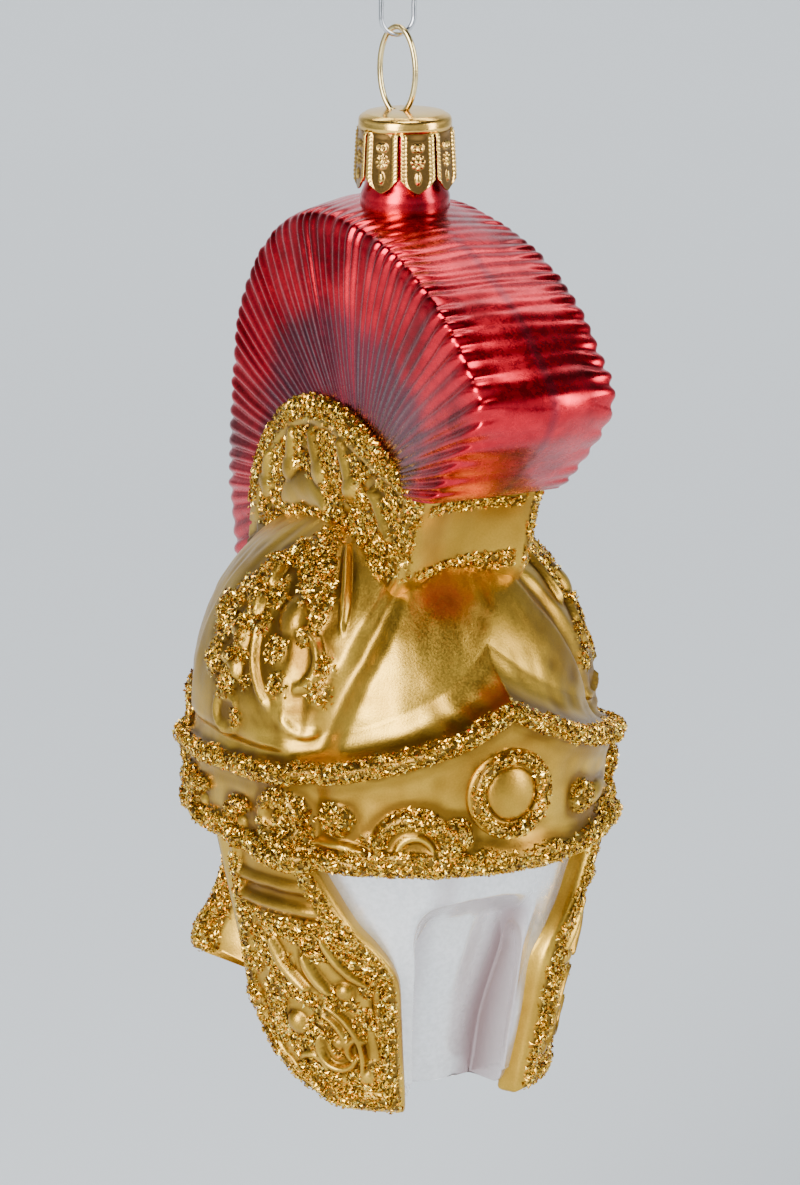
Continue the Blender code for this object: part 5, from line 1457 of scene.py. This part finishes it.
def make_cap_crown(material):
    """The cap's low domed disc, with a bevel and two wire holes: dents round the loop's legs, with painted
    shade in them.
    """
    top = cap_top()
    rim = CAP_TOP_RADIUS
    flat = rim - CAP_BEVEL
    bevel = 0.7 * MM
    radii = np.linspace(0.02 * rim, flat, 34)
    profile = [(radius, top + CAP_DOME * (1.0 - 0.65 * (radius / flat) ** 3.4)) for radius in radii]
    for angle in np.linspace(15.0, 90.0, 6):
        swing = math.radians(angle)
        profile.append((rim - bevel * (1.0 - math.sin(swing)), top - bevel * (1.0 - math.cos(swing))))
    profile.append((rim + 0.02 * MM, top - 1.1 * MM))
    profile.append((rim + 0.05 * MM, top - CAP_SLIT_TOP))
    inner_profile = [(max(r - CAP_SHEET, 0.005 * MM), h - CAP_SHEET * 0.9) for r, h in profile]
    outer, inner = turned_grid(profile, CAP_COLUMNS), turned_grid(inner_profile, CAP_COLUMNS)
    inner[-1, :, 2] = top - CAP_SLIT_TOP
    legs = place_wire(np.array([[0.0, LOOP_SPACING, 0.0], [0.0, -LOOP_SPACING, 0.0]]), LOOP_TURN)
    apart = np.min([np.hypot(outer[..., 0] - leg[0], outer[..., 1] - leg[1]) for leg in legs], axis=0)
    hole = 1.0 - smoothstep(1.25 * WIRE_RADIUS, 2.0 * WIRE_RADIUS, apart)
    outer[..., 2] -= 0.6 * CAP_SHEET * hole
    points, faces = closed_sheet(outer, inner, wrap=True, disc=True)
    # Painted shade in the wire holes.
    marks = {"depth": outer_only(hole)}
    crown = mesh_object("cap_crown", points, flip(faces), material, marks)
    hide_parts("cap")


def make_cap_petals(material):
    """The cap's eight flat petals, stamped and pointed, with slits between them."""
    slit_top = cap_top() - CAP_SLIT_TOP
    petal_length = CAP_LENGTH - CAP_SLIT_TOP
    v = np.linspace(0.0, 1.0, PETAL_ROWS)[:, None]
    u = np.linspace(-1.0, 1.0, PETAL_COLUMNS)[None, :]
    drop = v * (1.0 - (CAP_PETAL_POINT / petal_length) * np.abs(u) ** 1.5)
    height = slit_top - drop * petal_length
    relief, deep = petal_stamp(u, drop)
    gap = 0.5 * CAP_PETAL_GAP / CAP_SKIRT_RADIUS * smoothstep(0.0, 0.06, v)
    swing = (math.pi / CAP_PETALS - gap) * u
    share = (cap_top() - height) / CAP_LENGTH
    radius = CAP_TOP_RADIUS + (CAP_SKIRT_RADIUS - CAP_TOP_RADIUS) * share
    flat = radius * math.cos(math.pi / CAP_PETALS) / np.cos(swing) + 0.32 * MM
    blend = 0.75 * smoothstep(0.0, 0.12, v)
    radius = radius * (1.0 - blend) + flat * blend
    outward, within = radius + 0.16 * MM * relief - 0.10 * MM * deep, radius - CAP_SHEET
    all_points, all_faces = [], []
    for number in range(CAP_PETALS):
        angle = math.radians(CAP_TURN) + 2.0 * math.pi * (number + 0.5) / CAP_PETALS + swing
        across = np.stack([np.cos(angle), np.sin(angle)])
        outer, inner = (np.stack([*(reach * across), height], axis=-1) for reach in (outward, within))
        points, faces = closed_sheet(outer, inner, wrap=False)
        start = number * len(points)
        all_points.append(points)
        all_faces += [[i + start for i in face] for face in faces]
    points = np.concatenate(all_points)
    # The stamping's hollows are dark brown, and the petals' insides get painted shade.
    marks = {"depth": np.tile(outer_only(deep, 0.4), CAP_PETALS)}
    petals = mesh_object("cap_petals", points, flip(all_faces), material, marks)
    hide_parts("cap")


def place_wire(points, turn):
    """Turns points about the upright line through the hang point and moves them there."""
    angle = math.radians(turn)
    x = points[:, 0] * math.cos(angle) - points[:, 1] * math.sin(angle)
    y = points[:, 0] * math.sin(angle) + points[:, 1] * math.cos(angle)
    return np.stack([x - AXIS.x, y - AXIS.y, points[:, 2]], axis=-1)


def tube(name, points, radius, node, material, cyclic):
    """A round wire along a line of points."""
    if cyclic:
        ahead = np.roll(points, -1, axis=0) - np.roll(points, 1, axis=0)
    else:
        ahead = np.gradient(points, axis=0)
    ahead /= np.linalg.norm(ahead, axis=1, keepdims=True)
    flat = np.cross(points[-1] - points[0], points[len(points) // 2] - points[0])
    flat /= np.linalg.norm(flat)
    side = np.cross(ahead, flat)
    side /= np.linalg.norm(side, axis=1, keepdims=True)
    over = np.cross(side, ahead)
    angle = np.linspace(0.0, 2.0 * math.pi, WIRE_SIDES, endpoint=False)[None, :, None]
    grid = points[:, None] + radius * (side[:, None] * np.cos(angle) + over[:, None] * np.sin(angle))
    faces = grid_faces(len(points), WIRE_SIDES, wrap=True, start_cap=not cyclic, end_cap=not cyclic)
    if cyclic:
        faces += joining_faces(len(points), WIRE_SIDES)
    piece = mesh_object(name, grid, flip(faces), material)
    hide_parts(node)


def make_loop(material):
    """The hanger: an oval of wire over the cap, whose two legs spring apart inside the neck."""
    half_height = 0.5 * (LOOP_HEIGHT - WIRE_RADIUS)
    centre = cap_top() + half_height
    first = math.asin(LOOP_SPACING / LOOP_HALF_WIDTH)
    angle = np.linspace(first, 2.0 * math.pi - first, 120)
    oval_points = np.stack(
        [0.0 * angle, LOOP_HALF_WIDTH * np.sin(angle), centre - half_height * np.cos(angle)], axis=-1
    )
    off_axis = math.hypot(AXIS.x, AXIS.y)
    spread = NECK_TOP_RADIUS - WALL - WIRE_RADIUS - 1.5 * WIRE_CLEARANCE - off_axis
    share = np.linspace(0.0, 1.0, 25)[1:]
    out = LOOP_SPACING + (spread - LOOP_SPACING) * smoothstep(0.15, 1.0, share)
    down = oval_points[0, 2] - LOOP_LEG_LENGTH * share
    leg = np.stack([0.0 * out, out, down], axis=-1)
    line = np.concatenate([leg[::-1], oval_points, leg * (1.0, -1.0, 1.0)])
    points = place_wire(line, LOOP_TURN)
    tube("wire_loop_round", points, WIRE_RADIUS, "wire_loop", material, cyclic=False)


def make_link(material):
    """The plain steel link that the loop hangs from."""
    arc = LINK_HALF_WIDTH - LINK_WIRE_RADIUS
    half_side = 0.5 * LINK_LENGTH - LINK_HALF_WIDTH
    hang = cap_top() + LOOP_HEIGHT - 2.0 * WIRE_RADIUS
    centre = hang - WIRE_CLEARANCE - LINK_WIRE_RADIUS + arc + half_side
    angle = np.linspace(0.0, math.pi, 33)
    end = np.stack([arc * np.cos(angle), 0.0 * angle, half_side + arc * np.sin(angle)], axis=-1)
    line = np.concatenate([end, end * (-1.0, 1.0, -1.0)]) + (0.0, 0.0, centre)
    points = place_wire(line, LINK_TURN)
    tube("steel_link_round", points, LINK_WIRE_RADIUS, "hanging_link", material, cyclic=True)


# The camera, lights and stage.
def photo_directions():
    """Level directions away from the camera and to its right."""
    turn = math.radians(PHOTO_TURN)
    return Vector((math.sin(turn), math.cos(turn), 0.0)), Vector((math.cos(turn), -math.sin(turn), 0.0))


def place_camera():
    """Looks at the helmet from the photograph's angle, with the photograph's framing."""
    away, right = photo_directions()
    rise = math.radians(PHOTO_RISE)
    back = Vector((0.0, 0.0, math.sin(rise))) - away * math.cos(rise)
    up = back.cross(right)
    off_axis = (PHOTO_AXIS_PIXEL - 0.5 * PHOTO_WIDTH) * PIXEL_SIZE
    target = AXIS + Vector((0.0, 0.0, PHOTO_MIDDLE_HEIGHT)) - right * off_axis
    data = bpy.data.cameras.new("photo_camera")
    data.sensor_fit = "AUTO"
    data.sensor_width = 36.0
    data.lens = 36.0 * EYE_DISTANCE / (PIXEL_SIZE * PHOTO_HEIGHT)
    camera = bpy.data.objects.new("photo_camera", data)
    turned = Matrix((right, up, back)).transposed().to_4x4()
    camera.matrix_world = Matrix.Translation(target + back * EYE_DISTANCE) @ turned
    bpy.context.scene.collection.objects.link(camera)
    bpy.context.scene.camera = camera


def soft_box(name, place, aim, size, watts):
    """A soft white lamp that faces a place."""
    data = bpy.data.lights.new(name, "AREA")
    data.shape = "RECTANGLE"
    data.size, data.size_y = size
    data.energy = watts
    lamp = bpy.data.objects.new(name, data)
    lamp.location = place
    lamp.rotation_mode = "QUATERNION"
    lamp.rotation_quaternion = (Vector(aim) - Vector(place)).to_track_quat("-Z", "Y")
    bpy.context.scene.collection.objects.link(lamp)


def light_stage():
    """Two soft lamps beside the camera, one above, one on the wall, and a room bright only at eye level."""
    middle = AXIS + Vector((0.0, 0.0, PHOTO_MIDDLE_HEIGHT))
    for box in SOFT_BOXES:
        soft_box(box.name, middle + Vector(box.place), middle, box.size, box.watts)
    behind = photo_directions()[0]
    place = middle + WALL_LAMP_BEHIND * behind + Vector((0.0, 0.0, WALL_LAMP_ABOVE))
    soft_box("wall_softbox", place, middle + WALL_BEHIND * behind, size=(1.6, 0.8), watts=26.0)
    world = bpy.data.worlds.new("studio")
    world.use_nodes = True
    tree = world.node_tree
    background = tree.nodes["Background"]
    toward = add(tree, "ShaderNodeTexCoord").outputs["Generated"]
    split = add(tree, "ShaderNodeSeparateXYZ", vector=toward)
    level = maths(tree, "ABSOLUTE", split.outputs["Z"], 0.0)
    climb = ramp(tree, level, 0.10, 0.75)
    colour = mix(tree, climb, ROOM_LEVEL, ROOM_ABOVE)
    tree.links.new(colour, background.inputs["Color"])
    background.inputs["Strength"].default_value = ROOM_STRENGTH
    bpy.context.scene.world = world


def stage_material(name, colour):
    """Matt paper."""
    material, tree, shader = new_material(name)
    place = add(tree, "ShaderNodeTexCoord").outputs["Object"]
    noise = add(tree, "ShaderNodeTexNoise", vector=place, scale=6.0, detail=2.0)
    tone = mix(tree, noise.outputs["Fac"], (*colour, 1.0), (*(0.96 * c for c in colour), 1.0))
    tree.links.new(tone, shader.inputs["Base Color"])
    shader.inputs["Roughness"].default_value = 0.9
    return material


def make_stage():
    """A pale floor below the hanging ornament that curves up into a wall behind it."""
    floor_level = glass_low.z - 0.06
    fore, depth, curve, wall, half = -2.5, 1.5, 0.6, 2.2, 3.5
    profile = [(fore, 0.0), (depth, 0.0)]
    for i in range(1, 13):
        angle = math.radians(90.0 * i / 12)
        profile.append((depth + curve * math.sin(angle), curve * (1.0 - math.cos(angle))))
    profile.append((depth + curve, wall))
    back, right = photo_directions()
    points, faces = [], []
    for out, up in profile:
        for side in (-half, half):
            points.append(back * out + right * side + Vector((0.0, 0.0, floor_level + up)))
    for i in range(len(profile) - 1):
        faces.append((2 * i, 2 * i + 1, 2 * i + 3, 2 * i + 2))
    mesh = bpy.data.meshes.new("pale_sweep")
    mesh.from_pydata(points, [], faces)
    mesh.shade_smooth()
    mesh.materials.append(stage_material("pale_paper", PAPER))
    sweep = bpy.data.objects.new("pale_sweep", mesh)
    bpy.context.scene.collection.objects.link(sweep)


def main():
    """Makes the stage and every piece. The flakes come last, once all of them are scattered."""
    place_camera()
    light_stage()
    make_stage()
    film = lacquer_film_group()
    gold = gold_lacquer(film)
    red = red_lacquer(film)
    brass = stamped_brass(film)
    make_skull(gold)
    make_medallion(gold)
    make_guard(1.0, gold)
    make_guard(-1.0, gold)
    make_face(white_lacquer(film))
    make_neck_guard(gold)
    make_seat(gold)
    make_crest(red)
    make_neck(red)
    make_cap_crown(brass)
    make_cap_petals(brass)
    make_loop(drawn_wire(film, "gilt_wire", GILT_WIRE, roughness=0.2))
    make_link(drawn_wire(film, "steel_wire", STEEL_WIRE, roughness=0.18))
    make_flakes(gold_glitter())


main()
